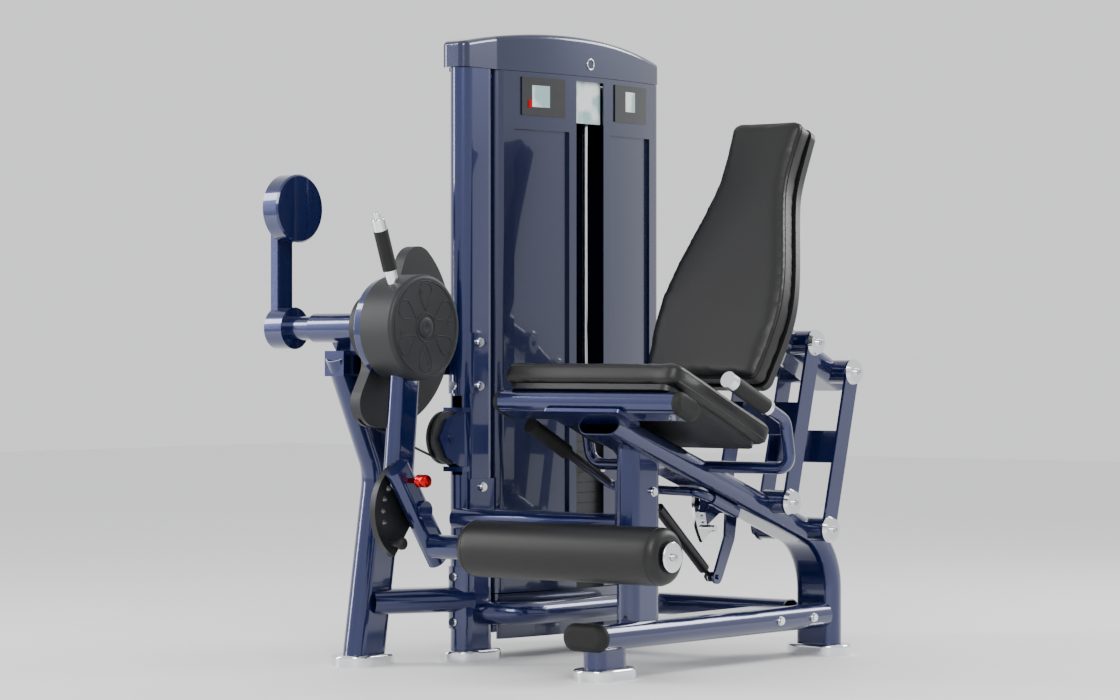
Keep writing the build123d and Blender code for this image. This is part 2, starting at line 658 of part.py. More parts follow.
with BuildPart() as tower_frame:
    with BuildSketch(plan(FOOT_HEIGHT - TUBE_WALL)):
        with Locations((POST_X, POST_Y)):
            flat_oval(TUBE_LONG, TUBE_SHORT, rotation=90)
    extrude(amount=POST_TOP - FOOT_HEIGHT + TUBE_WALL)
    with BuildSketch(plan(0)):
        with Locations(REAR_POST):
            flat_oval(TUBE_LONG, TUBE_SHORT)
    extrude(amount=POST_TOP - 20)
    with BuildSketch(front(POST_Y + TUBE_LONG / 2 - 1)):
        with Locations((FLOOR_BEAM_X, sum(FLOOR_BEAM) / 2)):
            RectangleRounded(FLOOR_BEAM_WIDTH, FLOOR_BEAM[1] - FLOOR_BEAM[0], 6)
    extrude(amount=-(REAR_POST[1] - TUBE_SHORT / 2 - POST_Y - TUBE_LONG / 2 + 2))
    box((CAM_X - 14, CAM_X + 14), (POST_Y - 80, IDLER[0] + IDLER_R + 8), WINDOW, mode=Mode.SUBTRACT)
    box((CAM_X - 8, CAM_X + 8), (POST_Y + 40, POST_Y + 70), (POST_TOP - 20, POST_TOP + 1), mode=Mode.SUBTRACT)
save(tower_frame, "tower_frame")

SADDLE = 5.0


def saddle(z_from, z_to):
    """A U-shaped saddle plate round the front of the post, for the current part."""
    with BuildSketch(plan(z_from)) as wrap:
        with Locations((POST_X, POST_Y)):
            SlotOverall(TUBE_LONG + 2 * SADDLE, TUBE_SHORT + 2 * SADDLE, rotation=90)
            SlotOverall(TUBE_LONG, TUBE_SHORT, rotation=90, mode=Mode.SUBTRACT)
        with Locations((POST_X, POST_Y + 65)):
            Rectangle(200, 90, mode=Mode.SUBTRACT)
    extrude(wrap.sketch, amount=z_to - z_from)


BRACKET = (-649.5, -603.0)
BRACKET_Z = (690.0, 742.0)
with BuildPart() as upper_bracket:
    saddle(645, 792)
    box(BRACKET, (KNEE[0], POST_Y - 25), BRACKET_Z)
    box((BRACKET[0] + 4, BRACKET[1] - 4), (KNEE[0], POST_Y - 29), (BRACKET_Z[0] + 4, BRACKET_Z[1] - 4),
        mode=Mode.SUBTRACT)
    box((BRACKET[1] - 1, POST_X - TUBE_SHORT / 2 - 1), (POST_Y - 60, POST_Y - 25), BRACKET_Z)
    box((BRACKET[0], BRACKET[1]), (KNEE[0] - 5, KNEE[0] + 25), (BRACKET_Z[1] - 2, KNEE[1]))
    add(post_form.part, mode=Mode.SUBTRACT)
    add(housing_form.part, mode=Mode.SUBTRACT)
    add(lever_leg.part, mode=Mode.SUBTRACT)
save(upper_bracket, "upper_bracket")

SIDE_BEAM_Z = 150.0
with BuildPart() as side_beam:
    saddle(80, 230)
    beam_from = at(LEG_X, -40, SIDE_BEAM_Z)
    beam_to = at(POST_X, POST_Y - 10, SIDE_BEAM_Z)
    beam_dir = beam_to - beam_from
    with BuildSketch(Plane(beam_from, x_dir=beam_dir.cross(Vector(0, 0, 1)), z_dir=beam_dir)):
        flat_oval(TUBE_LONG - 20, TUBE_SHORT)
    extrude(amount=beam_dir.length)
    add(post_form.part, mode=Mode.SUBTRACT)
    add(leg_form.part, mode=Mode.SUBTRACT)
save(side_beam, "side_beam")

# tie beam: out of the post, along the skirt, and across to the base beam
TIE_Z = 115.0
TIE_X = -440.0
TIE_WIDTH = 70.0
TIE_Y = 740.0
with BuildPart() as tie_beam:
    with BuildLine(plan(TIE_Z)) as tie_line:
        FilletPolyline((POST_X + 10, POST_Y + 22), (TIE_X, POST_Y + 22), (TIE_X, TIE_Y), (0, TIE_Y),
                       radius=85)
    with BuildSketch(Plane(at(POST_X + 10, POST_Y + 22, TIE_Z), x_dir=(0, 1, 0), z_dir=(1, 0, 0))):
        flat_oval(TIE_WIDTH, 54)
    sweep(path=tie_line.wires()[0])
    add(post_form.part, mode=Mode.SUBTRACT)
    add(side_beam.part, mode=Mode.SUBTRACT)
    with BuildSketch(front(600)):
        with Locations((0, BEAM_Z)):
            SlotOverall(TUBE_LONG, TUBE_SHORT)
    extrude(amount=-250, mode=Mode.SUBTRACT)
    box((0, 200), (600, 900), (0, 300), mode=Mode.SUBTRACT)
save(tie_beam, "tie_beam")

MID_BEAM_Z = 345.0
with BuildPart() as mid_beam:
    with BuildSketch(side(POST_X)):
        with Locations((COLUMN_Y + 30, MID_BEAM_Z)):
            flat_oval(80, 50)
    extrude(amount=-POST_X)
    box((POST_X + TUBE_SHORT / 2, POST_X + TUBE_SHORT / 2 + 6), (POST_Y - 45, POST_Y + 45), (300, 440))
    box((-TUBE_SHORT / 2 - 6, -TUBE_SHORT / 2), (COLUMN_Y - 40, COLUMN_Y + 50), (300, 450))
    add(post_form.part, mode=Mode.SUBTRACT)
    with BuildSketch(plan(200)):
        with Locations((0, COLUMN_Y)):
            SlotOverall(TUBE_LONG, TUBE_SHORT, rotation=90)
    extrude(amount=300, mode=Mode.SUBTRACT)
    box((0, 200), (0, 400), (200, 500), mode=Mode.SUBTRACT)
save(mid_beam, "mid_beam")

# ---- cam, index disc and shaft ----
CAM_FROM_ANGLE = -120.0
CAM_TO_ANGLE = 68.0
with BuildPart() as cam:
    with BuildSketch(side(CAM_X - CAM_THICK / 2)) as cam_face:
        with BuildLine():
            sweep_arc = CenterArc(KNEE, CAM_R, CAM_FROM_ANGLE, CAM_TO_ANGLE - CAM_FROM_ANGLE)
            Line(sweep_arc @ 1, KNEE)
            Line(KNEE, sweep_arc @ 0)
        make_face()
        fillet([v for v in cam_face.vertices() if (Vector(v.X, v.Y, 0) - Vector(*KNEE)).length > 100], 55)
        with Locations(KNEE):
            Circle(CAM_HUB_R)
        neck = [v for v in cam_face.vertices() if abs((Vector(v.X, v.Y, 0) - Vector(*KNEE)).length
                                                      - CAM_HUB_R) < 1]
        fillet(neck, 45)
        with Locations(KNEE):
            Circle(SHAFT_R, mode=Mode.SUBTRACT)
    extrude(amount=CAM_THICK)
    bar(CAM_X - CAM_THICK / 2 - 16, CAM_X - CAM_THICK / 2, KNEE, CAM_HUB_R - 4, bore=SHAFT_R)
    bar(CAM_X - CABLE_R - 1.5, CAM_X + CABLE_R + 1.5, KNEE, CAM_R + 20, bore=GROOVE_R, mode=Mode.SUBTRACT)
save(cam, "cam")

with BuildPart() as index_disc:
    bar(CAM_X + CAM_THICK / 2, COVER_FROM - 3, KNEE, DISC_R, bore=SHAFT_R)
    fillet(index_disc.edges().filter_by(GeomType.CIRCLE).group_by(SortBy.RADIUS)[-1], 3)
save(index_disc, "index_disc")

SHAFT_TO = COVER_TO - 14
COUNTER_X = (-887.0, -865.0)
SLEEVE_OUTER = 28.5
COUNTER_BOSS_R = 50.0
COUNTER_BOSS_END = -832.0
counter_centre = (knee_y, knee_z + COUNTER_REACH)

# the shaft with the counterweight's arm welded to its end
with BuildPart() as cam_shaft:
    bar(COUNTER_X[0], SHAFT_TO, KNEE, SHAFT_R)
    bar(COUNTER_X[1] - 1, HOUSING_FROM - 1, KNEE, SLEEVE_OUTER)
    with BuildSketch(side(COUNTER_X[0])):
        with Locations((knee_y, knee_z + COUNTER_REACH / 2)):
            Rectangle(52, COUNTER_REACH)
        with Locations(counter_centre):
            Circle(26)
        with Locations(KNEE):
            Circle(COUNTER_BOSS_R)
    extrude(amount=COUNTER_X[1] - COUNTER_X[0])
    bar(COUNTER_X[1] - 1, COUNTER_BOSS_END, KNEE, COUNTER_BOSS_R)
save(cam_shaft, "cam_shaft")

COUNTER_THICK = 50.0
with BuildPart() as counterweight:
    bar(COUNTER_X[1], COUNTER_X[1] + COUNTER_THICK, counter_centre, COUNTER_R)
    chamfer(counterweight.edges().filter_by(GeomType.CIRCLE), 4)
save(counterweight, "counterweight")

# ---- round hub cover with the start handle ----
COVER_WALL = 4.0
COVER_ROUND = 10.0              # under 3.4 times the wall, so the corner stays closed
arm_dir = Vector(0, -sin(radians(ARM_LEAN)), -cos(radians(ARM_LEAN)))
hub = (knee_y + arm_dir.Y * ARM_LENGTH, knee_z + arm_dir.Z * ARM_LENGTH)
HANDLE_ANGLE = 120.6
HANDLE_LEAN = 20.0
handle_foot = at((COVER_FROM + COVER_TO) / 2, *polar(KNEE, COVER_R - 6, HANDLE_ANGLE))
start_dir = Vector(0, -sin(radians(HANDLE_LEAN)), cos(radians(HANDLE_LEAN)))


def along(origin, direction, start, end, radius, bore=0, mode=Mode.ADD):
    """Round bar or ring along a direction from an origin, inside the current part."""
    with BuildSketch(Plane(origin + direction * start, x_dir=(1, 0, 0), z_dir=direction)) as profile:
        Circle(radius)
        if bore:
            Circle(bore, mode=Mode.SUBTRACT)
    extrude(profile.sketch, amount=end - start, mode=mode)


carrier_from = CARRIER_X - CARRIER_SHORT / 2
carrier_to = CARRIER_X + CARRIER_SHORT / 2

# the arm, with the carrier's pin welded into its lower end
with BuildPart() as lever_arm:
    with BuildSketch(Plane(at(ARM_X, *KNEE), x_dir=(0, 1, 0), z_dir=arm_dir)):
        flat_oval(ARM_LONG, ARM_SHORT, wall=3)
    extrude(amount=ARM_LENGTH)
    bar(ARM_X - ARM_SHORT / 2, ARM_X + ARM_SHORT / 2, hub, ARM_LONG / 2)
    bar(ARM_X - 30, ARM_X + 30, KNEE, 58)
    bar(ARM_X - 40, ARM_X + 40, KNEE, SHAFT_R + FIT, mode=Mode.SUBTRACT)
    bar(ARM_X, carrier_to + 2, hub, HUB_PIN_R)
    bar(carrier_to + 2, carrier_to + 9, hub, HUB_PIN_R + 10)
save(lever_arm, "lever_arm")

with BuildPart() as arm_form:
    with BuildSketch(Plane(at(ARM_X, *KNEE), x_dir=(0, 1, 0), z_dir=arm_dir)):
        SlotOverall(ARM_LONG + 1, ARM_SHORT + 1)
    extrude(amount=ARM_LENGTH)

with BuildPart() as hub_cover:
    bar(COVER_FROM, COVER_TO, KNEE, COVER_R)
    fillet(hub_cover.edges().filter_by(GeomType.CIRCLE).sort_by(Axis.X)[-1], COVER_ROUND)
    bar(COVER_FROM, COVER_TO - COVER_WALL, KNEE, COVER_R - COVER_WALL, mode=Mode.SUBTRACT)
    bar(ARM_X + 30, COVER_TO - COVER_WALL, KNEE, 40, bore=SHAFT_R + 4)
    add(arm_form.part, mode=Mode.SUBTRACT)
    along(handle_foot, start_dir, -20, 40, 15, mode=Mode.SUBTRACT)
save(hub_cover, "hub_cover")

START_GRIP = (34.0, 130.0)
GRIP_SKIN = 0.05                # the glue line under a rubber grip
with BuildPart() as start_handle:
    along(handle_foot, start_dir, -14, START_GRIP[0], 14)
    along(handle_foot, start_dir, START_GRIP[0], START_GRIP[1], 9)
    along(handle_foot, start_dir, START_GRIP[1], START_GRIP[1] + 30, 16)
    fillet(start_handle.edges().filter_by(GeomType.CIRCLE).sort_by(Axis(handle_foot, start_dir))[-1], 4)
    along(handle_foot, start_dir, START_GRIP[1] + 6, START_GRIP[1] + 31, 8 + FIT, mode=Mode.SUBTRACT)
    along(handle_foot, start_dir, START_GRIP[0] + GRIP_SKIN, START_GRIP[1] - GRIP_SKIN, 17,
          bore=9 + GRIP_SKIN)
save(start_handle, "start_handle")

BUTTON_TRAVEL = 8.0
with BuildPart() as start_button:
    along(handle_foot, start_dir, START_GRIP[1] + 6 + BUTTON_TRAVEL + 1, START_GRIP[1] + 44, 8)
    fillet(start_button.edges().filter_by(GeomType.CIRCLE).sort_by(Axis(handle_foot, start_dir))[-1], 3)
save(start_button, "start_button")

# ---- start sector, carrier and roller ----
SECTOR_X = ARM_X + ARM_SHORT / 2
START_HOLE_R = 7.5
START_HOLES = 5
START_HOLE_STEP = 18.0
with BuildPart() as start_sector:
    with BuildSketch(side(SECTOR_X)):
        with Locations(hub):
            Circle(START_OUTER_R)
        with BuildLine():
            Polyline((hub[0] + 20, hub[1]), polar(hub, 260, 96), polar(hub, 260, 165), polar(hub, 260, 238),
                     (hub[0] + 20, hub[1] - 20), close=True)
        make_face(mode=Mode.INTERSECT)
        with Locations(hub):
            Circle(40)
            Circle(HUB_PIN_R, mode=Mode.SUBTRACT)
        for step in range(START_HOLES):
            with Locations(polar(hub, START_HOLES_R, 180 - CARRIER_DROP + step * START_HOLE_STEP)):
                Circle(START_HOLE_R, mode=Mode.SUBTRACT)
    extrude(amount=START_THICK)
    bar(SECTOR_X + START_THICK, SECTOR_X + START_THICK + 24, polar(hub, START_HOLES_R + 8, 232), 9)
save(start_sector, "start_sector")

carrier_slope = Vector(0, cos(radians(CARRIER_DROP)), -sin(radians(CARRIER_DROP)))
CARRIER_ENDS = (-122.0, 142.0)
PULL_PIN_R = 6.0
knob_centre = (hub[0] - carrier_slope.Y * START_HOLES_R, hub[1] - carrier_slope.Z * START_HOLES_R)
with BuildPart() as ankle_carrier:
    with BuildSketch(Plane(at(CARRIER_X, *hub) + carrier_slope * CARRIER_ENDS[0], x_dir=(1, 0, 0),
                           z_dir=carrier_slope)):
        SlotOverall(CARRIER_LONG, CARRIER_SHORT, rotation=90)
    extrude(amount=CARRIER_ENDS[1] - CARRIER_ENDS[0])
    bar(carrier_from - 1, carrier_to + 1, hub, HUB_PIN_R + FIT, mode=Mode.SUBTRACT)
    bar(carrier_from - 1, carrier_to + 1, knob_centre, PULL_PIN_R + FIT, mode=Mode.SUBTRACT)
    bar(carrier_to, -ROLLER_HALF - 6, ROLLER, AXLE_R + 5)
    bar(carrier_to - 6, ROLLER_HALF + 3, ROLLER, AXLE_R)
    bar(ROLLER_HALF + 3.1, ROLLER_HALF + 8, ROLLER, 34)
    fillet(ankle_carrier.edges().filter_by(GeomType.CIRCLE).sort_by(Axis.X)[-1], 3)
    bar(ROLLER_HALF + 8, ROLLER_HALF + 11, ROLLER, 7)
save(ankle_carrier, "ankle_carrier")

KNOB_TRAVEL = 12.0
with BuildPart() as pull_knob:
    bar(SECTOR_X + START_THICK + 1, carrier_to + KNOB_TRAVEL + 1, knob_centre, PULL_PIN_R)
    bar(carrier_to + KNOB_TRAVEL + GAP, carrier_to + KNOB_TRAVEL + 10, knob_centre, 10)
    bar(carrier_to + KNOB_TRAVEL + 10, carrier_to + KNOB_TRAVEL + 48, knob_centre, 15)
    fillet(pull_knob.edges().filter_by(GeomType.CIRCLE).sort_by(Axis.X)[-1], 5)
save(pull_knob, "pull_knob")

with BuildPart() as roller_pad:
    bar(-ROLLER_HALF, ROLLER_HALF, ROLLER, ROLLER_R)
    fillet(roller_pad.edges().filter_by(GeomType.CIRCLE), 26)
    bar(-ROLLER_HALF, ROLLER_HALF, ROLLER, AXLE_R + FIT, mode=Mode.SUBTRACT)
save(roller_pad, "roller_pad")

# ================= tower covers =================
BOW_X = FACE_X - BOW_R
TOWER_FRONT = TOWER_MID_Y - TOWER_HALF + 3
TOWER_REAR = TOWER_MID_Y + TOWER_HALF
EDGE_X = FACE_X - TOWER_HALF ** 2 / (2 * BOW_R)     # the bowed face at its ends
COVER_CORNER = 26.0
SLOT_BRIDGE = 12.0              # what joins the shroud's halves above the slot
TOP_BEAM_Z = (POST_TOP - 95.0, POST_TOP - 55.0)
BEAM_NOTCH = (-622.0, -572.0)
RECESS = 8.0
RECESS_FROM = 82.0
RECESS_TO = 273.0
RECESS_Z = (205.0, SHROUD_TOP - 141.0)
CAP_ARCH = ((TOWER_FRONT - 125, SHROUD_TOP + 62), (TOWER_MID_Y - 60, SHROUD_TOP + 98),
            (TOWER_REAR, SHROUD_TOP + 54))
CAP_BASE = SHROUD_TOP - 30.0


def near_outline(inset):
    """Plan of the near shroud: straight back at the seam, bowed face, rounded corners."""
    front_y = TOWER_FRONT + inset
    rear_y = TOWER_REAR - inset
    with BuildLine() as outline:
        Polyline((EDGE_X - inset, front_y), (SEAM_X, front_y), (SEAM_X, rear_y), (EDGE_X - inset, rear_y))
        ThreePointArc((EDGE_X - inset, front_y), (FACE_X - inset, TOWER_MID_Y), (EDGE_X - inset, rear_y))
    make_face(outline.edges())


def round_face_corners(sketch, radius):
    corners = [v for v in sketch.vertices() if v.X > EDGE_X - 10]
    fillet(corners, radius)


def face_band(outer, inner, y_from, y_to):
    """Plan of a strip that follows the bowed face between two depths."""
    with Locations((BOW_X, TOWER_MID_Y)):
        Circle(BOW_R + outer)
        Circle(BOW_R + inner, mode=Mode.SUBTRACT)
    with Locations((FACE_X, (y_from + y_to) / 2)):
        Rectangle(300, y_to - y_from, mode=Mode.INTERSECT)


RECESSES = ((TOWER_MID_Y - RECESS_TO, TOWER_MID_Y - RECESS_FROM),
            (TOWER_MID_Y + RECESS_FROM, TOWER_MID_Y + RECESS_TO))

# what is hollow behind the near shroud's skin: all but the trays of its recesses
with BuildPart() as near_hollow:
    with BuildSketch(plan(SHROUD_BOTTOM - 1)) as hollow_plan:
        near_outline(SHELL)
        round_face_corners(hollow_plan, COVER_CORNER - SHELL)
        with Locations((SEAM_X, TOWER_MID_Y)):
            Rectangle(20, 2 * TOWER_HALF - 3 - 2 * SHELL)
    extrude(amount=SHROUD_TOP - SHROUD_BOTTOM + 2)
    for y_from, y_to in RECESSES:
        with BuildSketch(plan(RECESS_Z[0] - SHELL)):
            face_band(5, -RECESS - SHELL, y_from - SHELL, y_to + SHELL)
        extrude(amount=RECESS_Z[1] - RECESS_Z[0] + 2 * SHELL, mode=Mode.SUBTRACT)

with BuildPart() as near_shroud:
    with BuildSketch(plan(SHROUD_BOTTOM)) as shroud_plan:
        near_outline(0)
        round_face_corners(shroud_plan, COVER_CORNER)
    extrude(amount=SHROUD_TOP - SHROUD_BOTTOM)
    add(near_hollow.part, mode=Mode.SUBTRACT)
    for y_from, y_to in RECESSES:
        with BuildSketch(plan(RECESS_Z[0])):
            face_band(5, -RECESS, y_from, y_to)
        extrude(amount=RECESS_Z[1] - RECESS_Z[0], mode=Mode.SUBTRACT)
    box((FACE_X - 60, FACE_X + 10), (TOWER_MID_Y - SLOT_WIDTH / 2, TOWER_MID_Y + SLOT_WIDTH / 2),
        (SHROUD_BOTTOM - 1, SHROUD_TOP - SLOT_BRIDGE), mode=Mode.SUBTRACT)
    box((CAM_X - 8, CAM_X + 8), (TOWER_FRONT - 1, TOWER_FRONT + 6), (SHROUD_TOP - 20, SHROUD_TOP + 1),
        mode=Mode.SUBTRACT)
    box(BEAM_NOTCH, (TOWER_FRONT - 1, TOWER_FRONT + 6), (TOP_BEAM_Z[0] - 1, TOP_BEAM_Z[1] + 1),
        mode=Mode.SUBTRACT)
save(near_shroud, "near_shroud")

with BuildPart() as far_shroud:
    with BuildSketch(plan(SHROUD_BOTTOM)) as far_plan:
        with BuildLine():
            Polyline((SEAM_X - GAP, TOWER_FRONT), (BACK_X, TOWER_FRONT), (BACK_X, TOWER_REAR),
                     (SEAM_X - GAP, TOWER_REAR), close=True)
        make_face()
        fillet(far_plan.vertices().group_by(Axis.X)[0], COVER_CORNER)
    extrude(amount=SHROUD_TOP - SHROUD_BOTTOM)
    with BuildSketch(plan(SHROUD_BOTTOM - 1)) as far_room:
        with BuildLine():
            Polyline((SEAM_X + 1, TOWER_FRONT + SHELL), (BACK_X + SHELL, TOWER_FRONT + SHELL),
                     (BACK_X + SHELL, TOWER_REAR - SHELL), (SEAM_X + 1, TOWER_REAR - SHELL), close=True)
        make_face()
        fillet(far_room.vertices().group_by(Axis.X)[0], COVER_CORNER - SHELL)
    extrude(amount=SHROUD_TOP - SHROUD_BOTTOM + 2, mode=Mode.SUBTRACT)
    box(BEAM_NOTCH, (TOWER_FRONT - 1, TOWER_FRONT + 6), (TOP_BEAM_Z[0] - 1, TOP_BEAM_Z[1] + 1),
        mode=Mode.SUBTRACT)
save(far_shroud, "far_shroud")

SKIRT_INSET = 5.0
SKIRT_GAP = 3.0
with BuildPart() as tower_skirt:
    with BuildSketch(plan(SKIRT_BOTTOM)) as skirt_plan:
        near_outline(SKIRT_INSET)
        round_face_corners(skirt_plan, COVER_CORNER - SKIRT_INSET)
        with Locations(((SEAM_X + BACK_X) / 2 + SKIRT_INSET, (TOWER_FRONT + TOWER_REAR) / 2)):
            Rectangle(SEAM_X - BACK_X, TOWER_REAR - TOWER_FRONT - 2 * SKIRT_INSET)
        offset(amount=-SHELL, mode=Mode.SUBTRACT)
    extrude(amount=SHROUD_BOTTOM - SKIRT_GAP - SKIRT_BOTTOM)
    box((FLOOR_BEAM_X - FLOOR_BEAM_WIDTH / 2 - 1, FLOOR_BEAM_X + FLOOR_BEAM_WIDTH / 2 + 1),
        (TOWER_FRONT - 1, TOWER_FRONT + 20), (0, FLOOR_BEAM[1] + 2), mode=Mode.SUBTRACT)
save(tower_skirt, "tower_skirt")

# top cap over the post and both shrouds, arched along its length
CAP_WALL = 4.0
CAP_FRONT = POST_Y - TUBE_LONG / 2 - 4
with BuildPart() as cap_room:
    with BuildSketch(plan(SHROUD_TOP - 1)):
        with Locations(((EDGE_X + BACK_X) / 2, (CAP_FRONT + TOWER_REAR) / 2)):
            Rectangle(EDGE_X - BACK_X - 2 * CAP_WALL - 6, TOWER_REAR - CAP_FRONT - 2 * CAP_WALL - 26)
    extrude(amount=45)

with BuildPart() as tower_cap:
    with BuildSketch(plan(SHROUD_TOP + 1)) as cap_plan:
        near_outline(0)
        with Locations(((SEAM_X + BACK_X) / 2, (TOWER_FRONT + TOWER_REAR) / 2)):
            Rectangle(SEAM_X - BACK_X, TOWER_REAR - TOWER_FRONT)
        with BuildLine():
            Polyline((EDGE_X, TOWER_FRONT), (POST_X + 34, CAP_FRONT), (POST_X - 34, CAP_FRONT),
                     (BACK_X, TOWER_FRONT), close=True)
        make_face()
        fillet(cap_plan.vertices(), 20)
    extrude(amount=120)
    with BuildSketch(side(BACK_X - 10)):
        with BuildLine():
            cap_arc = ThreePointArc(*CAP_ARCH)
            Polyline(cap_arc @ 1, (CAP_ARCH[2][0] + 60, CAP_ARCH[2][1] - 15), (CAP_ARCH[2][0] + 60, CAP_BASE),
                     (CAP_ARCH[0][0] - 60, CAP_BASE), (CAP_ARCH[0][0] - 60, CAP_ARCH[0][1] - 15), cap_arc @ 0)
        make_face()
    extrude(amount=300, mode=Mode.INTERSECT)
    top_edges = tower_cap.edges().filter_by(lambda e: e.center().Z > SHROUD_TOP + 40)
    fillet(top_edges, 12)
    add(cap_room.part, mode=Mode.SUBTRACT)
save(tower_cap, "tower_cap")

# placards on the bowed face and the clear card over the slot
PLACARD = (150.0, 93.0, 3.0)
PLACARD_Z = SHROUD_TOP - 59.0
CARD = (104.0, 116.0)
with BuildPart() as info_panels:
    for step in (-176, 176):
        with BuildSketch(plan(PLACARD_Z - PLACARD[1] / 2)):
            face_band(PLACARD[2] + GAP, GAP, TOWER_MID_Y + step - PLACARD[0] / 2,
                      TOWER_MID_Y + step + PLACARD[0] / 2)
        extrude(amount=PLACARD[1])
    box((FACE_X - 14, FACE_X - 10), (TOWER_MID_Y - CARD[0] / 2, TOWER_MID_Y + CARD[0] / 2),
        (SHROUD_TOP - CARD[1], SHROUD_TOP - 1))
save(info_panels, "info_panels")

# ================= weight stack =================
ROD_Y = (TOWER_MID_Y - ROD_SPACING / 2, TOWER_MID_Y + ROD_SPACING / 2)
BUFFER = (24.0, STACK_BOTTOM - FLOOR_BEAM[1])


def upright(x, y, z_from, z_to, radius, bore=0, mode=Mode.ADD):
    """Upright round bar or ring inside the current part."""
    with BuildSketch(plan(z_from)) as profile:
        with Locations((x, y)):
            Circle(radius)
            if bore:
                Circle(bore, mode=Mode.SUBTRACT)
    extrude(profile.sketch, amount=z_to - z_from, mode=mode)


with BuildPart() as stack_guides:
    for y in ROD_Y:
        upright(CAM_X, y, FLOOR_BEAM[1], TOP_BEAM_Z[0] - 6, ROD_R)
        upright(CAM_X, y, FLOOR_BEAM[1], STACK_BOTTOM, BUFFER[0], bore=ROD_R + 0.05)
save(stack_guides, "stack_guides")


def plates(first, count):
    """A run of weight plates, drilled for the guide rods, the stem and the selector pin."""
    for index in range(first, first + count):
        z = STACK_BOTTOM + index * PLATE_PITCH
        box((CAM_X - PLATE_SIZE[0] / 2, CAM_X + PLATE_SIZE[0] / 2),
            (TOWER_MID_Y - PLATE_SIZE[1] / 2, TOWER_MID_Y + PLATE_SIZE[1] / 2), (z, z + PLATE_THICK))


ROD_BORE = ROD_R + 1.5
STEM_R = 10.0
PIN_HOLE_R = 5.0
stack_top = STACK_BOTTOM + (RESTING + LIFTED) * PLATE_PITCH
split_z = STACK_BOTTOM + RESTING * PLATE_PITCH
HEAD_THICK = 30.0
with BuildPart() as resting_plates:
    plates(0, RESTING)
    for y in ROD_Y:
        upright(CAM_X, y, 0, stack_top + 50, ROD_BORE, mode=Mode.SUBTRACT)
save(resting_plates, "resting_plates")

pin_z = split_z + PLATE_THICK / 2
with BuildPart() as lifted_plates:
    plates(RESTING, LIFTED)
    box((CAM_X - PLATE_SIZE[0] / 2, CAM_X + PLATE_SIZE[0] / 2),
        (TOWER_MID_Y - PLATE_SIZE[1] / 2, TOWER_MID_Y + PLATE_SIZE[1] / 2),
        (stack_top, stack_top + HEAD_THICK))
    for y in ROD_Y:
        upright(CAM_X, y, 0, stack_top + 50, ROD_BORE, mode=Mode.SUBTRACT)
    upright(CAM_X, TOWER_MID_Y, split_z - 1, stack_top + 50, STEM_R + 0.3, mode=Mode.SUBTRACT)
    upright(CAM_X, TOWER_MID_Y, split_z + 2, stack_top + HEAD_THICK + 30, STEM_R)
    bar(CAM_X, CAM_X + 100, (TOWER_MID_Y, pin_z), PIN_HOLE_R + FIT, mode=Mode.SUBTRACT)
save(lifted_plates, "lifted_plates")

with BuildPart() as selector_pin:
    bar(CAM_X + 2, FACE_X + 12, (TOWER_MID_Y, pin_z), PIN_HOLE_R)
    bar(FACE_X + 12, FACE_X + 40, (TOWER_MID_Y, pin_z), 12)
save(selector_pin, "selector_pin")

# ================= pulleys and cable =================
front_pulley = (IDLER[0] + IDLER_R - CABLE_R + TOP_PULLEY_R - CABLE_R, PULLEY_TOP_Z)
rear_pulley = (TOWER_MID_Y - TOP_PULLEY_R + CABLE_R, PULLEY_TOP_Z)
AXLE_PIN_R = 6.0


def pulley(centre, radius):
    half = PULLEY_WIDTH / 2
    bar(CAM_X - half, CAM_X + half, centre, radius + 3, bore=AXLE_PIN_R + FIT)
    bar(CAM_X - CABLE_R - 1, CAM_X + CABLE_R + 1, centre, radius + 4, bore=radius - 2 * CABLE_R - 0.3,
        mode=Mode.SUBTRACT)


with BuildPart() as idler_pulley:
    pulley(IDLER, IDLER_R)
save(idler_pulley, "idler_pulley")

with BuildPart() as front_top_pulley:
    pulley(front_pulley, TOP_PULLEY_R)
save(front_top_pulley, "front_top_pulley")

with BuildPart() as rear_top_pulley:
    pulley(rear_pulley, TOP_PULLEY_R)
save(rear_top_pulley, "rear_top_pulley")

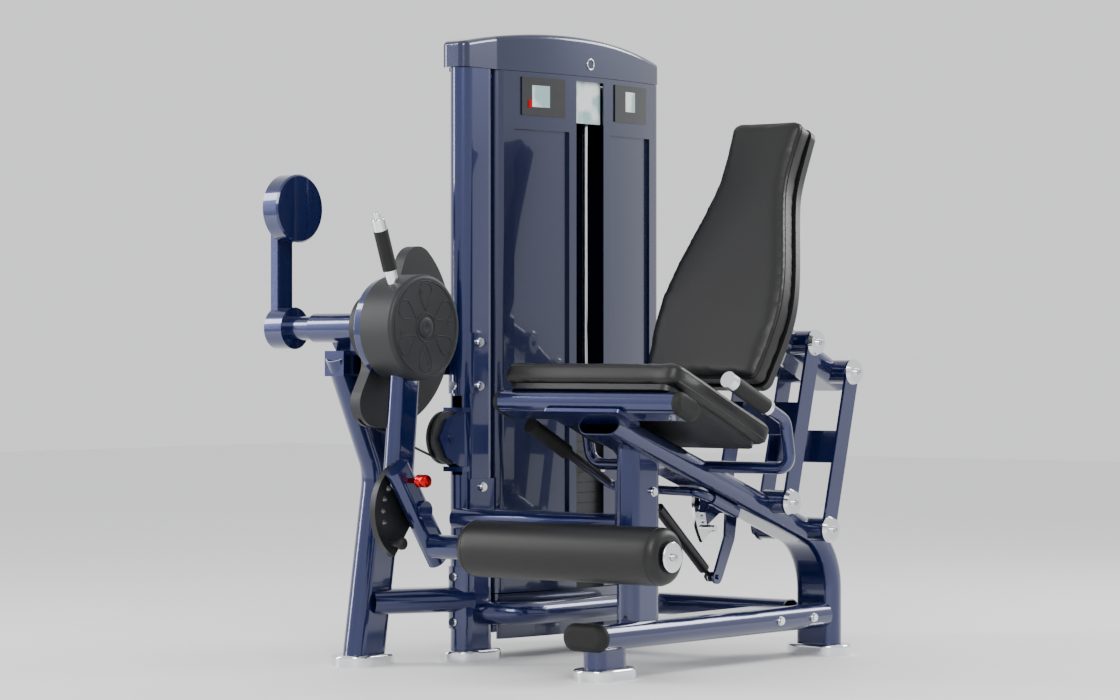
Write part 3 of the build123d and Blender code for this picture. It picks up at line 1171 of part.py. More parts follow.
PLATE_X = CAM_X - PULLEY_WIDTH / 2 - 1
CARRIAGE_X = -580.0
IDLER_PLATE = 6.0
near_plate_x = CAM_X + PULLEY_WIDTH / 2 + 1
with BuildPart() as pulley_brackets:
    box((CARRIAGE_X - 40, CARRIAGE_X - 6),
        (POST_Y + TUBE_LONG / 2 + 0.5, REAR_POST[1] - TUBE_SHORT / 2 - 0.5), TOP_BEAM_Z)
    box((CARRIAGE_X - 7, PLATE_X - 5), (POST_Y + TUBE_LONG / 2 + 8, rear_pulley[0] + 40), TOP_BEAM_Z)
    box((PLATE_X - 6, PLATE_X - 1), (POST_Y + TUBE_LONG / 2 + 8, rear_pulley[0] + 40),
        (TOP_BEAM_Z[0], PULLEY_TOP_Z + 20))
    bar(PLATE_X - 6, CAM_X + PULLEY_WIDTH / 2, rear_pulley, AXLE_PIN_R)
    bar(POST_X - TUBE_SHORT / 2 + TUBE_WALL + 0.5, CAM_X + PULLEY_WIDTH / 2 + 1, front_pulley, AXLE_PIN_R)
    box((CAM_X - 40, CAM_X + 24), (ROD_Y[0] - 18, ROD_Y[1] + 18), (TOP_BEAM_Z[0] - 6, TOP_BEAM_Z[0]))
    upright(CAM_X, TOWER_MID_Y, TOP_BEAM_Z[0] - 10, TOP_BEAM_Z[1] + 60, 8, mode=Mode.SUBTRACT)
    for x in (PLATE_X - IDLER_PLATE, near_plate_x):
        with BuildSketch(side(x)) as plate:
            with BuildLine():
                Polyline((POST_Y - 40, IDLER[1] + 72), (IDLER[0] - 20, IDLER[1] + 46),
                         (IDLER[0] - 46, IDLER[1]),
                         (IDLER[0] - 20, IDLER[1] - 46), (POST_Y - 40, IDLER[1] - 82), close=True)
            make_face()
        extrude(plate.sketch, amount=IDLER_PLATE)
    bar(PLATE_X - IDLER_PLATE, near_plate_x + IDLER_PLATE + 6, IDLER, AXLE_PIN_R)
    bar(near_plate_x + IDLER_PLATE, near_plate_x + IDLER_PLATE + 4, IDLER, 13)
    box((POST_X - TUBE_SHORT / 2, POST_X + TUBE_SHORT / 2), (POST_Y - TUBE_LONG / 2 - 8, POST_Y - 40),
        (IDLER[1] + 60, IDLER[1] + 72))
    box((POST_X - TUBE_SHORT / 2, POST_X + TUBE_SHORT / 2), (POST_Y - TUBE_LONG / 2 - 8, POST_Y - 40),
        (IDLER[1] - 82, IDLER[1] - 70))
    add(post_form.part, mode=Mode.SUBTRACT)
save(pulley_brackets, "pulley_brackets")

# the cable: cam to idler to the top pulleys, then down to the stack
groove_line = GROOVE_R + CABLE_R
idler_line = IDLER_R - CABLE_R
top_line = TOP_PULLEY_R - CABLE_R
between = Vector(IDLER[0] - knee_y, IDLER[1] - knee_z, 0)
tangent = degrees(atan2(between.Y, between.X)) - degrees(
    atan2((between.length ** 2 - (groove_line - idler_line) ** 2) ** 0.5, groove_line - idler_line))
cable_start = polar(KNEE, groove_line, tangent)
CABLE_CLEAR = 62.0              # where the straight run is clear of the cam's groove
ANCHOR_ANGLE = -117.0
WRAP_TO = 50.0
start_along = Vector(0, -sin(radians(tangent)), cos(radians(tangent)))
run_start = (cable_start[0] + start_along.Y * CABLE_CLEAR, cable_start[1] + start_along.Z * CABLE_CLEAR)
with BuildPart() as fixed_cable:
    with BuildLine(side(CAM_X)) as cable_line:
        Line(run_start, polar(IDLER, idler_line, tangent))
        CenterArc(IDLER, idler_line, tangent, -tangent)
        Line((IDLER[0] + idler_line, IDLER[1]), (front_pulley[0] - top_line, PULLEY_TOP_Z))
        CenterArc(front_pulley, top_line, 180, -90)
        Line((front_pulley[0], PULLEY_TOP_Z + top_line), (rear_pulley[0], PULLEY_TOP_Z + top_line))
        CenterArc(rear_pulley, top_line, 90, -90)
    with BuildSketch(Plane(at(CAM_X, *run_start), x_dir=(1, 0, 0), z_dir=start_along)):
        Circle(CABLE_R)
    sweep(path=cable_line.wires()[0])
save(fixed_cable, "fixed_cable")

stem_top = stack_top + HEAD_THICK + 30
with BuildPart() as stack_cable:
    upright(CAM_X, TOWER_MID_Y, stem_top, PULLEY_TOP_Z, CABLE_R)
save(stack_cable, "stack_cable")

with BuildPart() as cam_cable:
    with BuildLine(side(CAM_X)) as wrap_line:
        CenterArc(KNEE, groove_line, ANCHOR_ANGLE + 22, WRAP_TO - ANCHOR_ANGLE - 22)
    wrap_along = Vector(0, -sin(radians(ANCHOR_ANGLE + 22)), cos(radians(ANCHOR_ANGLE + 22)))
    with BuildSketch(Plane(at(CAM_X, *polar(KNEE, groove_line, ANCHOR_ANGLE + 22)), x_dir=(1, 0, 0),
                           z_dir=wrap_along)):
        Circle(CABLE_R - 0.3)
    sweep(path=wrap_line.wires()[0])
save(cam_cable, "cam_cable")

# ================= end caps and bolts =================
with BuildPart() as rubber_caps:
    with BuildSketch(front(BEAM_FRONT)):
        with Locations((0, BEAM_Z)):
            SlotOverall(TUBE_LONG + 4, TUBE_SHORT + 4)
    extrude(amount=22)
    fillet(rubber_caps.faces().sort_by(Axis.Y)[0].edges(), 16)
    for hand in (1, -1):
        with BuildSketch(side(hand * CROSS_LENGTH / 2)):
            with Locations(Location((cross_y, cross_z), -SEAT_TILT)):
                SlotOverall(CROSS_LONG + 2, CROSS_SHORT + 2)
        extrude(amount=hand * 18)
    fillet(rubber_caps.faces().sort_by(Axis.X)[-1].edges(), 13)
    fillet(rubber_caps.faces().sort_by(Axis.X)[0].edges(), 13)
save(rubber_caps, "rubber_caps")

BOLT_R = 9.0
BOLT_HEAD = 8.0
# seats of the bolt heads that look towards +X, then of those that look towards -Y
SADDLE_FACE_X = POST_X + TUBE_SHORT / 2 + SADDLE
SADDLE_FACE_Y = POST_Y - TUBE_LONG / 2 - SADDLE
SIDE_BOLTS = ((SADDLE_FACE_X, POST_Y - 10, 769), (SADDLE_FACE_X, POST_Y - 10, 664),
              (POST_X + TUBE_SHORT / 2 + 6, POST_Y, 420), (TUBE_SHORT / 2, COLUMN_Y + 18, 424),
              (TUBE_LONG / 2, 610, BEAM_Z), (TUBE_LONG / 2, 750, BEAM_Z))
FRONT_BOLTS = tuple((POST_X, SADDLE_FACE_Y, z) for z in (205, 96, 769, 664))
with BuildPart() as frame_bolts:
    for x, y, z in SIDE_BOLTS:
        bar(x, x + 3, (y, z), BOLT_R + 2)
        bar(x + 3, x + BOLT_HEAD, (y, z), BOLT_R)
    for x, y, z in FRONT_BOLTS:
        along(at(x, y, z), Vector(0, -1, 0), 0, 3, BOLT_R + 2)
        along(at(x, y, z), Vector(0, -1, 0), 3, BOLT_HEAD, BOLT_R)
save(frame_bolts, "frame_bolts")
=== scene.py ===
# %% [markdown]
# # A leg extension machine
# The machine is a frame of flat-oval steel tube in glossy navy, black upholstered pads, a lever with a
# round cover and a cam, and a tower of weights behind moulded covers. The solid model already holds every
# shape and size, so this lesson gives it its finishes, swells the pads, and adds the small trim. Positions
# below are bench millimetres: x from the seat's middle, y from the front foot, z up.

# %% Load the fixed frame
import json
import math
import bpy
import bmesh
from mathutils import Matrix, Vector


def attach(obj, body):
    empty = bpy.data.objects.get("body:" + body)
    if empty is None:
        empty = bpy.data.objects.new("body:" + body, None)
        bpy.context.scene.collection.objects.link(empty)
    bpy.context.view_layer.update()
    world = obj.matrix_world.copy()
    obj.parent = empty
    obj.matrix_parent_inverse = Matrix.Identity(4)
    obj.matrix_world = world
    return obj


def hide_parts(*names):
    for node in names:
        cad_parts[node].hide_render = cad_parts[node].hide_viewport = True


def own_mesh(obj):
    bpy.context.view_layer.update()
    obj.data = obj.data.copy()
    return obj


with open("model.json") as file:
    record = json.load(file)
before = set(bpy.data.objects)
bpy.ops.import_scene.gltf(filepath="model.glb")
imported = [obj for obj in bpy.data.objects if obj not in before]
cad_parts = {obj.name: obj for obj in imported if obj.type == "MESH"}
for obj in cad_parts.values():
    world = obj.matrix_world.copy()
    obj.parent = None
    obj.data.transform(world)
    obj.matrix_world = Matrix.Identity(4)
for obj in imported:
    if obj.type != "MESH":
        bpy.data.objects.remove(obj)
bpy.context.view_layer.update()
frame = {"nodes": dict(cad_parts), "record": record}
nodes = frame["nodes"]
MID_X = 289.0
FRONT_Y = -317.5
MM = 0.001


def at(x, y, z):
    return Vector(((MID_X + x) * MM, (FRONT_Y + y) * MM, z * MM))


print("pieces in the frame:", len(nodes))

# %% [markdown]
# ## Colours and nodes
# Colours are written as the hex codes a designer would use. Blender works in linear light, so one function
# converts them. Another adds one node, sets its values and joins its inputs, which keeps each material
# short.

# %% Colour and node helpers
PER_MM = 1000.0                 # a texture that repeats once per millimetre in metre coordinates


def linear(code):
    """sRGB hex to linear RGBA."""
    parts = [int(code[i:i + 2], 16) / 255 for i in (1, 3, 5)]
    return tuple([p / 12.92 if p <= 0.04045 else ((p + 0.055) / 1.055) ** 2.4 for p in parts] + [1.0])


def add(tree, kind, links=None, **settings):
    """Adds one node; settings are its properties or input values, links join inputs to other outputs."""
    node = tree.nodes.new(kind)
    for name, value in settings.items():
        if hasattr(node, name):
            setattr(node, name, value)
        else:
            node.inputs[name.replace("_", " ")].default_value = value
    for name, output in (links or {}).items():
        tree.links.new(output, node.inputs[name])
    return node


def start_material(name, colour, metallic, roughness, **shader):
    """A new material with its shader's constants; returns it, its tree, its shader and its coordinates."""
    material = bpy.data.materials.new(name)
    material.use_nodes = True
    tree = material.node_tree
    surface = tree.nodes["Principled BSDF"]
    surface.inputs["Base Color"].default_value = linear(colour)
    surface.inputs["Metallic"].default_value = metallic
    surface.inputs["Roughness"].default_value = roughness
    for socket, value in shader.items():
        surface.inputs[socket.replace("_", " ")].default_value = value
    place = add(tree, "ShaderNodeTexCoord")
    return material, tree, surface, place.outputs["Object"]


def ramp(tree, factor, stops):
    """A colour ramp from (position, hex) stops."""
    node = add(tree, "ShaderNodeValToRGB", {"Fac": factor})
    marks = node.color_ramp.elements
    while len(marks) < len(stops):
        marks.new(0.5)
    for mark, (position, code) in zip(marks, stops):
        mark.position = position
        mark.color = linear(code)
    return node.outputs["Color"]


print("navy in linear light:", [round(v, 4) for v in linear("#182868")])

# %% [markdown]
# ## Powder-coated steel, deep navy under a clear coat
# The frame tubes are sprayed with a blue metallic powder and a clear layer. The flakes are too fine to see
# one by one, so a fine speckle between two blues stands for them. The clear coat gives the sharp long
# highlights.

# %% Navy powder coat
def navy_coat(name, base, lift, flake_mm, roughness):
    material, tree, surface, place = start_material(name, base, 0.55, roughness, Coat_Weight=1.0,
                                                    Coat_Roughness=0.04, Specular_IOR_Level=0.5)
    flake = add(tree, "ShaderNodeTexNoise", {"Vector": place}, Scale=PER_MM / flake_mm, Detail=3.0)
    tree.links.new(ramp(tree, flake.outputs["Fac"], ((0.3, base), (0.7, lift))), surface.inputs["Base Color"])
    peel = add(tree, "ShaderNodeTexNoise", {"Vector": place}, Scale=PER_MM / 4, Detail=1.0)
    bump = add(tree, "ShaderNodeBump", {"Height": peel.outputs["Fac"]}, Strength=0.02, Distance=0.0004)
    tree.links.new(bump.outputs["Normal"], surface.inputs["Normal"])
    return material


# powder grains are 0.05 mm; 1.2 mm is the finest that shows at this distance
powder_coat = navy_coat("navy metallic powder coat", "#060B26", "#182868", 1.2, 0.24)
moulded_cover = navy_coat("navy lacquered ABS moulding", "#0D1430", "#1B254C", 1.6, 0.24)
print("powder coat and moulding ready")

# %% [markdown]
# ## Chrome plate and bright steel
# Foot caps, pivot caps, collars and bolts are chromium plated: a nearly white metal with a mirror finish.
# Faint wipe marks in the roughness stop it from looking computed. Turned steel is greyer and rougher.

# %% Metals
def bare_metal(name, colour, low, high, mark_mm, metallic=1.0):
    material, tree, surface, place = start_material(name, colour, metallic, low)
    wipe = add(tree, "ShaderNodeTexNoise", {"Vector": place}, Scale=PER_MM / mark_mm, Detail=4.0)
    rough = add(tree, "ShaderNodeMapRange", {"Value": wipe.outputs["Fac"]}, To_Min=low, To_Max=high)
    tree.links.new(rough.outputs["Result"], surface.inputs["Roughness"])
    return material


chrome_plate = bare_metal("chromium plate", "#E6E8EA", 0.05, 0.16, 18)
turned_steel = bare_metal("turned steel", "#B9BCC0", 0.2, 0.36, 5)
red_anodised = bare_metal("red anodised aluminium", "#C0101A", 0.16, 0.28, 8)
iron_enamel = bare_metal("black enamelled cast iron", "#1A1B1E", 0.42, 0.6, 6, metallic=0.0)
print("metals:", chrome_plate.name, turned_steel.name, red_anodised.name)

# %% [markdown]
# ## Leatherette, rubber and textured plastic
# The pads wear vinyl leatherette with a pebble grain pressed in by a roller: small cells with creases
# between, about 1.4 mm across. A cell texture gives that as bumps, and paints the creases darker as painted
# shade.
# Hand grips are moulded rubber with fine rings. Covers are injection-moulded ABS with a spark-eroded
# texture.

# %% Soft and moulded finishes
def pebbled(name, crease_shade, crown, cell_mm, depth, roughness, specular=0.4):
    material, tree, surface, place = start_material(name, crown, 0.0, roughness, Specular_IOR_Level=specular)
    wander = add(tree, "ShaderNodeTexNoise", {"Vector": place}, Scale=PER_MM / 6, Detail=2.0)
    cells = add(tree, "ShaderNodeTexVoronoi", {"Vector": place}, Scale=PER_MM / cell_mm,
                feature="DISTANCE_TO_EDGE")
    # painted shade: the creases take the darker colour and the crowns the lighter one
    tree.links.new(ramp(tree, cells.outputs["Distance"], ((0.0, crease_shade), (0.25, crown))),
                   surface.inputs["Base Color"])
    rough = add(tree, "ShaderNodeMapRange", {"Value": wander.outputs["Fac"]}, To_Min=roughness - 0.05,
                To_Max=roughness + 0.07)
    tree.links.new(rough.outputs["Result"], surface.inputs["Roughness"])
    bump = add(tree, "ShaderNodeBump", {"Height": cells.outputs["Distance"]}, Strength=0.35, Distance=depth)
    tree.links.new(bump.outputs["Normal"], surface.inputs["Normal"])
    return material


leatherette = pebbled("black pebbled leatherette", "#070708", "#101012", 1.6, 0.0003, 0.43)
backing_board = pebbled("black vacuum-formed backing", "#0E0E10", "#1B1B1E", 2.2, 0.0002, 0.4)
black_abs = pebbled("black spark-textured ABS", "#16171A", "#222327", 1.1, 0.0002, 0.46)
grip_rubber = pebbled("black moulded rubber", "#0C0C0D", "#1A1A1B", 1.8, 0.0003, 0.62, 0.3)
cable_sheath = pebbled("black nylon cable sheath", "#101012", "#1C1C1F", 0.8, 0.0001, 0.4)
black_satin = pebbled("black satin enamel", "#0E0F11", "#17181B", 1.4, 0.0001, 0.34)
print("soft finishes:", leatherette.name, grip_rubber.name)

# %% [markdown]
# ## Placards
# Two glossy black acrylic placards sit on the bowed face, and a pale card hangs over the slot. A real
# placard carries instructions. Here the card keeps only a soft cloud of two tones, made by one large noise,
# and the black acrylic is almost even, with a slow drift of painted sheen between two blacks.

# %% Acrylic placard
placard_black, placard_tree, placard_surface, placard_place = start_material(
    "black gloss acrylic", "#0B0C10", 0.0, 0.12, Coat_Weight=0.6, Coat_Roughness=0.03)
clear_card, card_tree, card_surface, card_place = start_material(
    "pale printed acrylic", "#B8C6C4", 0.0, 0.15, Coat_Weight=0.5, Coat_Roughness=0.05)
tone = add(card_tree, "ShaderNodeTexNoise", {"Vector": card_place}, Scale=PER_MM / 60, Detail=1.0)
card_surface_colour = ramp(card_tree, tone.outputs["Fac"], ((0.42, "#8FAEB0"), (0.55, "#D6DEDC")))
card_tree.links.new(card_surface_colour, card_surface.inputs["Base Color"])
# painted sheen: a slow drift between two blacks on the glossy acrylic
sheen = add(placard_tree, "ShaderNodeTexNoise", {"Vector": placard_place}, Scale=PER_MM / 25, Detail=1.0)
placard_tree.links.new(ramp(placard_tree, sheen.outputs["Fac"], ((0.3, "#090A0D"), (0.7, "#101218"))),
                       placard_surface.inputs["Base Color"])
print("placards ready")

# %% [markdown]
# ## Giving the pieces their finishes
# A dictionary from each finish to its pieces is short to read and easy to change. Pieces that carry two
# finishes are left for the next step.

# %% Assign
FINISHES = {
    powder_coat: ("main_rail", "base_beam", "column", "seat_cross_rail", "front_links", "rear_links",
                  "lock_arm", "back_carrier", "rail_fittings", "lever_leg", "tower_frame", "upper_bracket",
                  "side_beam", "tie_beam", "mid_beam", "cam_shaft", "counterweight", "lever_arm",
                  "pulley_brackets", "index_disc"),
    moulded_cover: ("near_shroud", "far_shroud", "tower_skirt", "tower_cap"),
    chrome_plate: ("foot_caps", "stack_guides", "gas_rod", "frame_bolts", "lock_sector"),
    turned_steel: ("lock_pin", "selector_pin"),
    leatherette: ("seat_pad", "back_pad", "roller_pad"),
    backing_board: ("seat_board", "back_board"),
    grip_rubber: ("handle_grips", "rubber_caps"),
    black_abs: ("cam", "hub_cover", "idler_pulley", "front_top_pulley", "rear_top_pulley"),
    iron_enamel: ("resting_plates", "lifted_plates"),
    black_satin: ("gas_cylinder", "start_sector"),
    red_anodised: ("pull_knob",),
    cable_sheath: ("fixed_cable", "stack_cable", "cam_cable"),
}


def wear(obj, material):
    obj.data.materials.clear()
    obj.data.materials.append(material)


for material, names in FINISHES.items():
    for name in names:
        wear(nodes[name], material)
print("finished nodes:", sum(len(names) for names in FINISHES.values()))

# %% [markdown]
# ## Pieces with more than one finish
# A pivot pin is chromed outside the links and painted where its bush hides between them. Cutting each piece
# apart would also work, but the faces of a copy can simply take a second material by their place, which
# keeps the shape untouched. The places come from the part's own measures.

# %% Copies with a second finish
NODE_BODY = {name: body for body, names in frame["record"]["behaviour"]["bodies"].items() for name in names}


def copy_of(name, material):
    """A piece of our own in place of a node."""
    piece = nodes[name].copy()
    piece.data = nodes[name].data.copy()
    piece.parent = None
    piece.matrix_world = Matrix.Identity(4)
    piece.name = name + "_look"
    bpy.context.scene.collection.objects.link(piece)
    wear(piece, material)
    return piece


def place_second(piece, material, inside):
    piece.data.materials.append(material)
    count = 0
    for face in piece.data.polygons:
        if inside(face.center):
            face.material_index = 1
            count += 1
    return count


def settle(piece, name):
    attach(piece, NODE_BODY[name])
    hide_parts(name)


seat_mid = MID_X * MM
BUSH_HALF = 0.0951              # metres from the middle to the inner face of the swing links
for pivots in ("lower_pivots", "upper_pivots"):
    caps = copy_of(pivots, chrome_plate)
    print(pivots, "dark faces:", place_second(caps, powder_coat, lambda c: abs(c.x - seat_mid) < BUSH_HALF))
    settle(caps, pivots)

# %% [markdown]
# ## Hand-grip collars and the roller's end disc
# The tubes beside the seat end in polished collars, and the roller runs on a spindle with a bright end
# disc. Both are found by how far along the tube, or how far out from the seat, a face lies.

# %% Collars and end disc
GRIP_FRONT = at(0, 95, 676)
GRIP_ALONG = (at(0, 300, 589) - GRIP_FRONT).normalized()
COLLAR_END = 0.1485             # metres along the grip
COLLAR_OUT = 0.26               # metres from the seat's middle
DISC_OUT = 0.2895
tubes = copy_of("handle_tubes", powder_coat)


def on_collar(c):
    along = (Vector((0, c.y, c.z)) - Vector((0, GRIP_FRONT.y, GRIP_FRONT.z))).dot(GRIP_ALONG)
    return along < COLLAR_END and abs(c.x - seat_mid) > COLLAR_OUT


print("collar faces:", place_second(tubes, chrome_plate, on_collar))
settle(tubes, "handle_tubes")

carrier = copy_of("ankle_carrier", powder_coat)
print("disc faces:", place_second(carrier, chrome_plate, lambda c: c.x - seat_mid > DISC_OUT))
settle(carrier, "ankle_carrier")

# %% [markdown]
# ## Rubber on the start handle and the release lever
# The start handle is chromed and the release lever painted, and each wears a moulded rubber grip. The
# handle leans, so its grip is found by distance along its own axis, while the lever's grip is simply its
# upper part.

# %% Rubber grips
def grip_zone(origin, direction, start, end, radius):
    """A test for faces round an axis, between two distances along it and outside a radius, in millimetres."""
    def inside(c):
        offset = Vector(c) - origin
        run = offset.dot(direction)
        return start * MM < run < end * MM and (offset - direction * run).length > radius * MM
    return inside


KNEE_Y = -135.0
KNEE_Z = 802.0
COVER_EDGE = 117.5
HANDLE_X = -467.5
HANDLE_SEAT = math.radians(120.6)
HANDLE_LEAN = math.radians(20)
handle_foot = at(HANDLE_X, KNEE_Y + COVER_EDGE * math.cos(HANDLE_SEAT),
                 KNEE_Z + COVER_EDGE * math.sin(HANDLE_SEAT))
start_dir = Vector((0, -math.sin(HANDLE_LEAN), math.cos(HANDLE_LEAN)))
start = copy_of("start_handle", chrome_plate)
start_grip = grip_zone(handle_foot, start_dir, start=33.9, end=130.0, radius=9.5)
print("start grip faces:", place_second(start, grip_rubber, start_grip))
settle(start, "start_handle")
wear(nodes["start_button"], chrome_plate)

lever_look = copy_of("release_lever", powder_coat)
LEVER_GRIP_LOW = 0.4575         # the grip's lower end, metres above the floor
LEVER_GRIP_X = at(-200, 0, 0).x
print("lever grip faces:", place_second(
    lever_look, grip_rubber, lambda c: c.z > LEVER_GRIP_LOW and c.x < LEVER_GRIP_X))
settle(lever_look, "release_lever")

# %% [markdown]
# ## Placards and card
# The two placards and the card between them are one solid in the model. The card is the part of it near the
# tower's middle, so that is the test.

# %% Card between the placards
TOWER_MID_Y = 585.0
CARD_HALF = 0.06                # metres either side of the tower's middle
card_mid = at(0, TOWER_MID_Y, 0).y
panels = copy_of("info_panels", placard_black)
print("card faces:", place_second(panels, clear_card, lambda c: abs(c.y - card_mid) < CARD_HALF))
settle(panels, "info_panels")

# %% [markdown]
# ## The shortening cable
# The last run of cable hangs from the rear top pulley to the weights. As the stack rises the run gets
# shorter. The piece stays with the frame and gets a mesh of its own.

# %% Stack cable
run = copy_of("stack_cable", cable_sheath)
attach(run, "frame")
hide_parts("stack_cable")
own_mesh(run)

# %% [markdown]
# ## Upholstered pads
# A foam pad under vinyl is crowned: the cover pulls tight over the edges and the foam pushes back. Cloth
# simulation does exactly that. The solid is remeshed to small even squares, air pressure swells it for
# twenty frames, and the result is kept within a few millimetres of the solid so the pad stays its real
# size.

# %% Swell a pad
PAD_VOXEL_MM = 6.0
SOFTEN_ROUNDS = 4               # takes the remesher's steps off the edges
AIR_PRESSURE = 4.0
AIR_FRAMES = 20
COVER_MASS = 0.3                # kilograms at each point of the cover, as the cloth solver counts it
EASE_ROUNDS = 10                # takes the finest wrinkles out, as stretched vinyl has few


def swell(name, shrink_mm, cap_mm):
    piece = copy_of(name, leatherette)
    remesh = piece.modifiers.new("even squares", "REMESH")
    remesh.mode = "VOXEL"
    remesh.voxel_size = PAD_VOXEL_MM * MM
    bpy.context.view_layer.objects.active = piece
    bpy.ops.object.modifier_apply(modifier=remesh.name)
    mesh = piece.data
    soften = piece.modifiers.new("soften", "SMOOTH")
    soften.factor = 0.5
    soften.iterations = SOFTEN_ROUNDS
    bpy.ops.object.modifier_apply(modifier=soften.name)
    for vertex, normal in zip(mesh.vertices, [v.normal.copy() for v in mesh.vertices]):
        vertex.co -= normal * shrink_mm * MM
    before = [v.co.copy() for v in mesh.vertices]
    cloth = piece.modifiers.new("air", "CLOTH")
    cloth.settings.use_pressure = True
    cloth.settings.uniform_pressure_force = AIR_PRESSURE
    cloth.settings.quality = 4
    cloth.settings.mass = COVER_MASS
    cloth.settings.effector_weights.gravity = 0.0
    cloth.point_cache.frame_start = 1
    cloth.point_cache.frame_end = AIR_FRAMES
    for step in range(1, AIR_FRAMES + 1):
        bpy.context.scene.frame_set(step)
    swollen = piece.evaluated_get(bpy.context.evaluated_depsgraph_get()).data
    targets = [v.co.copy() for v in swollen.vertices]
    piece.modifiers.remove(cloth)
    bpy.context.scene.frame_set(1)
    for vertex, start, end in zip(mesh.vertices, before, targets):
        move = end - start
        if move.length > cap_mm * MM:
            move = move.normalized() * cap_mm * MM
        vertex.co = start + move
    ease = piece.modifiers.new("ease", "SMOOTH")
    ease.factor = 0.5
    ease.iterations = EASE_ROUNDS
    bpy.ops.object.modifier_apply(modifier=ease.name)
    smooth = piece.modifiers.new("finer", "SUBSURF")
    smooth.levels = 1
    smooth.render_levels = 1
    bpy.ops.object.modifier_apply(modifier=smooth.name)
    for face in mesh.polygons:
        face.use_smooth = True
    settle(piece, name)
    print(name, "faces:", len(mesh.polygons), "size mm:", [round(v * 1000) for v in piece.dimensions])
    return piece


seat = swell("seat_pad", 4.0, 7.0)
back = swell("back_pad", 4.0, 7.0)
roller = swell("roller_pad", 2.5, 3.0)

# %% [markdown]
# ## Small trim
# Trim is built from turned profiles: a list of radius and depth steps, spun round an axis. One function
# makes rings, screws, bosses and rod ends alike, each a closed shape with rounded steps.

# %% Turned pieces
EDGE_MM = 0.4                   # a lathe tool leaves no sharper edge


def turned(name, origin, axis, profile, material, body, sides=40):
    """Spins (radius, depth) steps in millimetres round an axis through origin."""
    axis = Vector(axis).normalized()
    across = axis.orthogonal().normalized()
    other = axis.cross(across)
    verts = []
    faces = []
    for radius, depth in profile:
        for k in range(sides):
            angle = 2 * math.pi * k / sides
            outward = across * math.cos(angle) + other * math.sin(angle)
            verts.append(origin + axis * depth * MM + outward * radius * MM)
    for ring in range(len(profile) - 1):
        for k in range(sides):
            nxt = (k + 1) % sides
            low, high = ring * sides, (ring + 1) * sides
            faces.append((low + k, low + nxt, high + nxt, high + k))
    faces.append(tuple(reversed(range(sides))))
    faces.append(tuple((len(profile) - 1) * sides + k for k in range(sides)))
    mesh = bpy.data.meshes.new(name)
    mesh.from_pydata(verts, [], faces)
    mesh.update()
    piece = bpy.data.objects.new(name, mesh)
    bpy.context.scene.collection.objects.link(piece)
    wear(piece, material)
    for face in mesh.polygons:
        face.use_smooth = len(face.vertices) == 4
    bevel = piece.modifiers.new("edge", "BEVEL")
    bevel.width = EDGE_MM * MM
    bevel.segments = 2
    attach(piece, body)
    return piece


# %% [markdown]
# ## Screws, bumper and spring eye
# A screw closes the roller's spindle and each pivot, a rubber bumper stops the start sector, and a polished
# ball fills the gas spring's lower eye. The sector hangs from the knee along the lever arm.

# %% Screws, bumper and spring eye
SCREW = ((9, 0), (9, 3), (8, 4.4), (5, 5), (4.4, 4.2), (4.2, 2))
turned("roller_end_screw", at(299.2, -137, 296), (1, 0, 0), SCREW, turned_steel, NODE_BODY["ankle_carrier"])
BUMPER = ((4, 0), (13, 0), (14.5, 4), (14, 12), (9, 17), (2, 18))
ARM_REACH = 424.0               # from the knee's axis to the ankle carrier's
ARM_LEAN = math.radians(5.6)
SECTOR_FACE_X = -414.0
BUMPER_REACH = 94.0
BUMPER_TURN = math.radians(232)
HUB_DROP = Vector((0, -ARM_REACH * math.sin(ARM_LEAN), -ARM_REACH * math.cos(ARM_LEAN)))
sector_end = at(SECTOR_FACE_X, KNEE_Y, KNEE_Z) + HUB_DROP * MM
sector_end += Vector((0, BUMPER_REACH * math.cos(BUMPER_TURN), BUMPER_REACH * math.sin(BUMPER_TURN))) * MM
turned("sector_bumper", sector_end, (1, 0, 0), BUMPER, grip_rubber, "arm")
CAP_SCREW = ((7, 0), (7, 3), (6, 4), (3.6, 4), (3.4, 1.5), (0.8, 1.5))
PIVOT_END_X = 118.2
PIVOTS = (("frame", 594.0, 386.0), ("frame", 759.0, 314.5), ("back", 697.0, 768.0), ("back", 862.0, 696.5))
for body, y, z in PIVOTS:
    for hand in (1, -1):
        turned("pivot_screw", at(hand * PIVOT_END_X, y, z), (hand, 0, 0), CAP_SCREW, turned_steel, body, 24)
EYE_BALL = ((5, -7), (10.5, -5), (12.6, 0), (10.5, 5), (5, 7))
turned("spring_eye_ball", at(-92, 533, 204), (1, 0, 0), EYE_BALL, chrome_plate, "spring_cylinder", 32)
print("turned trim made")

# %% [markdown]
# ## Seams on the pads
# The cover of a pad is a face panel sewn to a side band. The sewn welt is a cord-like ridge that runs round
# the pad. Cutting the finished pad with a plane gives exactly that line, and a thin round bevel makes it a
# ridge.

# %% Welts from a plane cut
def welt(name, pad, point, normal, radius_mm, material, body):
    """A ridge where a plane cuts a finished pad."""
    work = bmesh.new()
    work.from_mesh(pad.data)
    bmesh.ops.bisect_plane(work, geom=work.verts[:] + work.edges[:] + work.faces[:], plane_co=point,
                           plane_no=normal, clear_inner=True, clear_outer=True)
    mesh = bpy.data.meshes.new(name)
    work.to_mesh(mesh)
    work.free()
    piece = bpy.data.objects.new(name, mesh)
    bpy.context.scene.collection.objects.link(piece)
    bpy.ops.object.select_all(action="DESELECT")
    piece.select_set(True)
    bpy.context.view_layer.objects.active = piece
    bpy.ops.object.convert(target="CURVE")
    piece.data.bevel_depth = radius_mm * MM
    piece.data.bevel_resolution = 1
    wear(piece, material)
    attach(piece, body)
    print(name, "runs:", len(piece.data.splines))


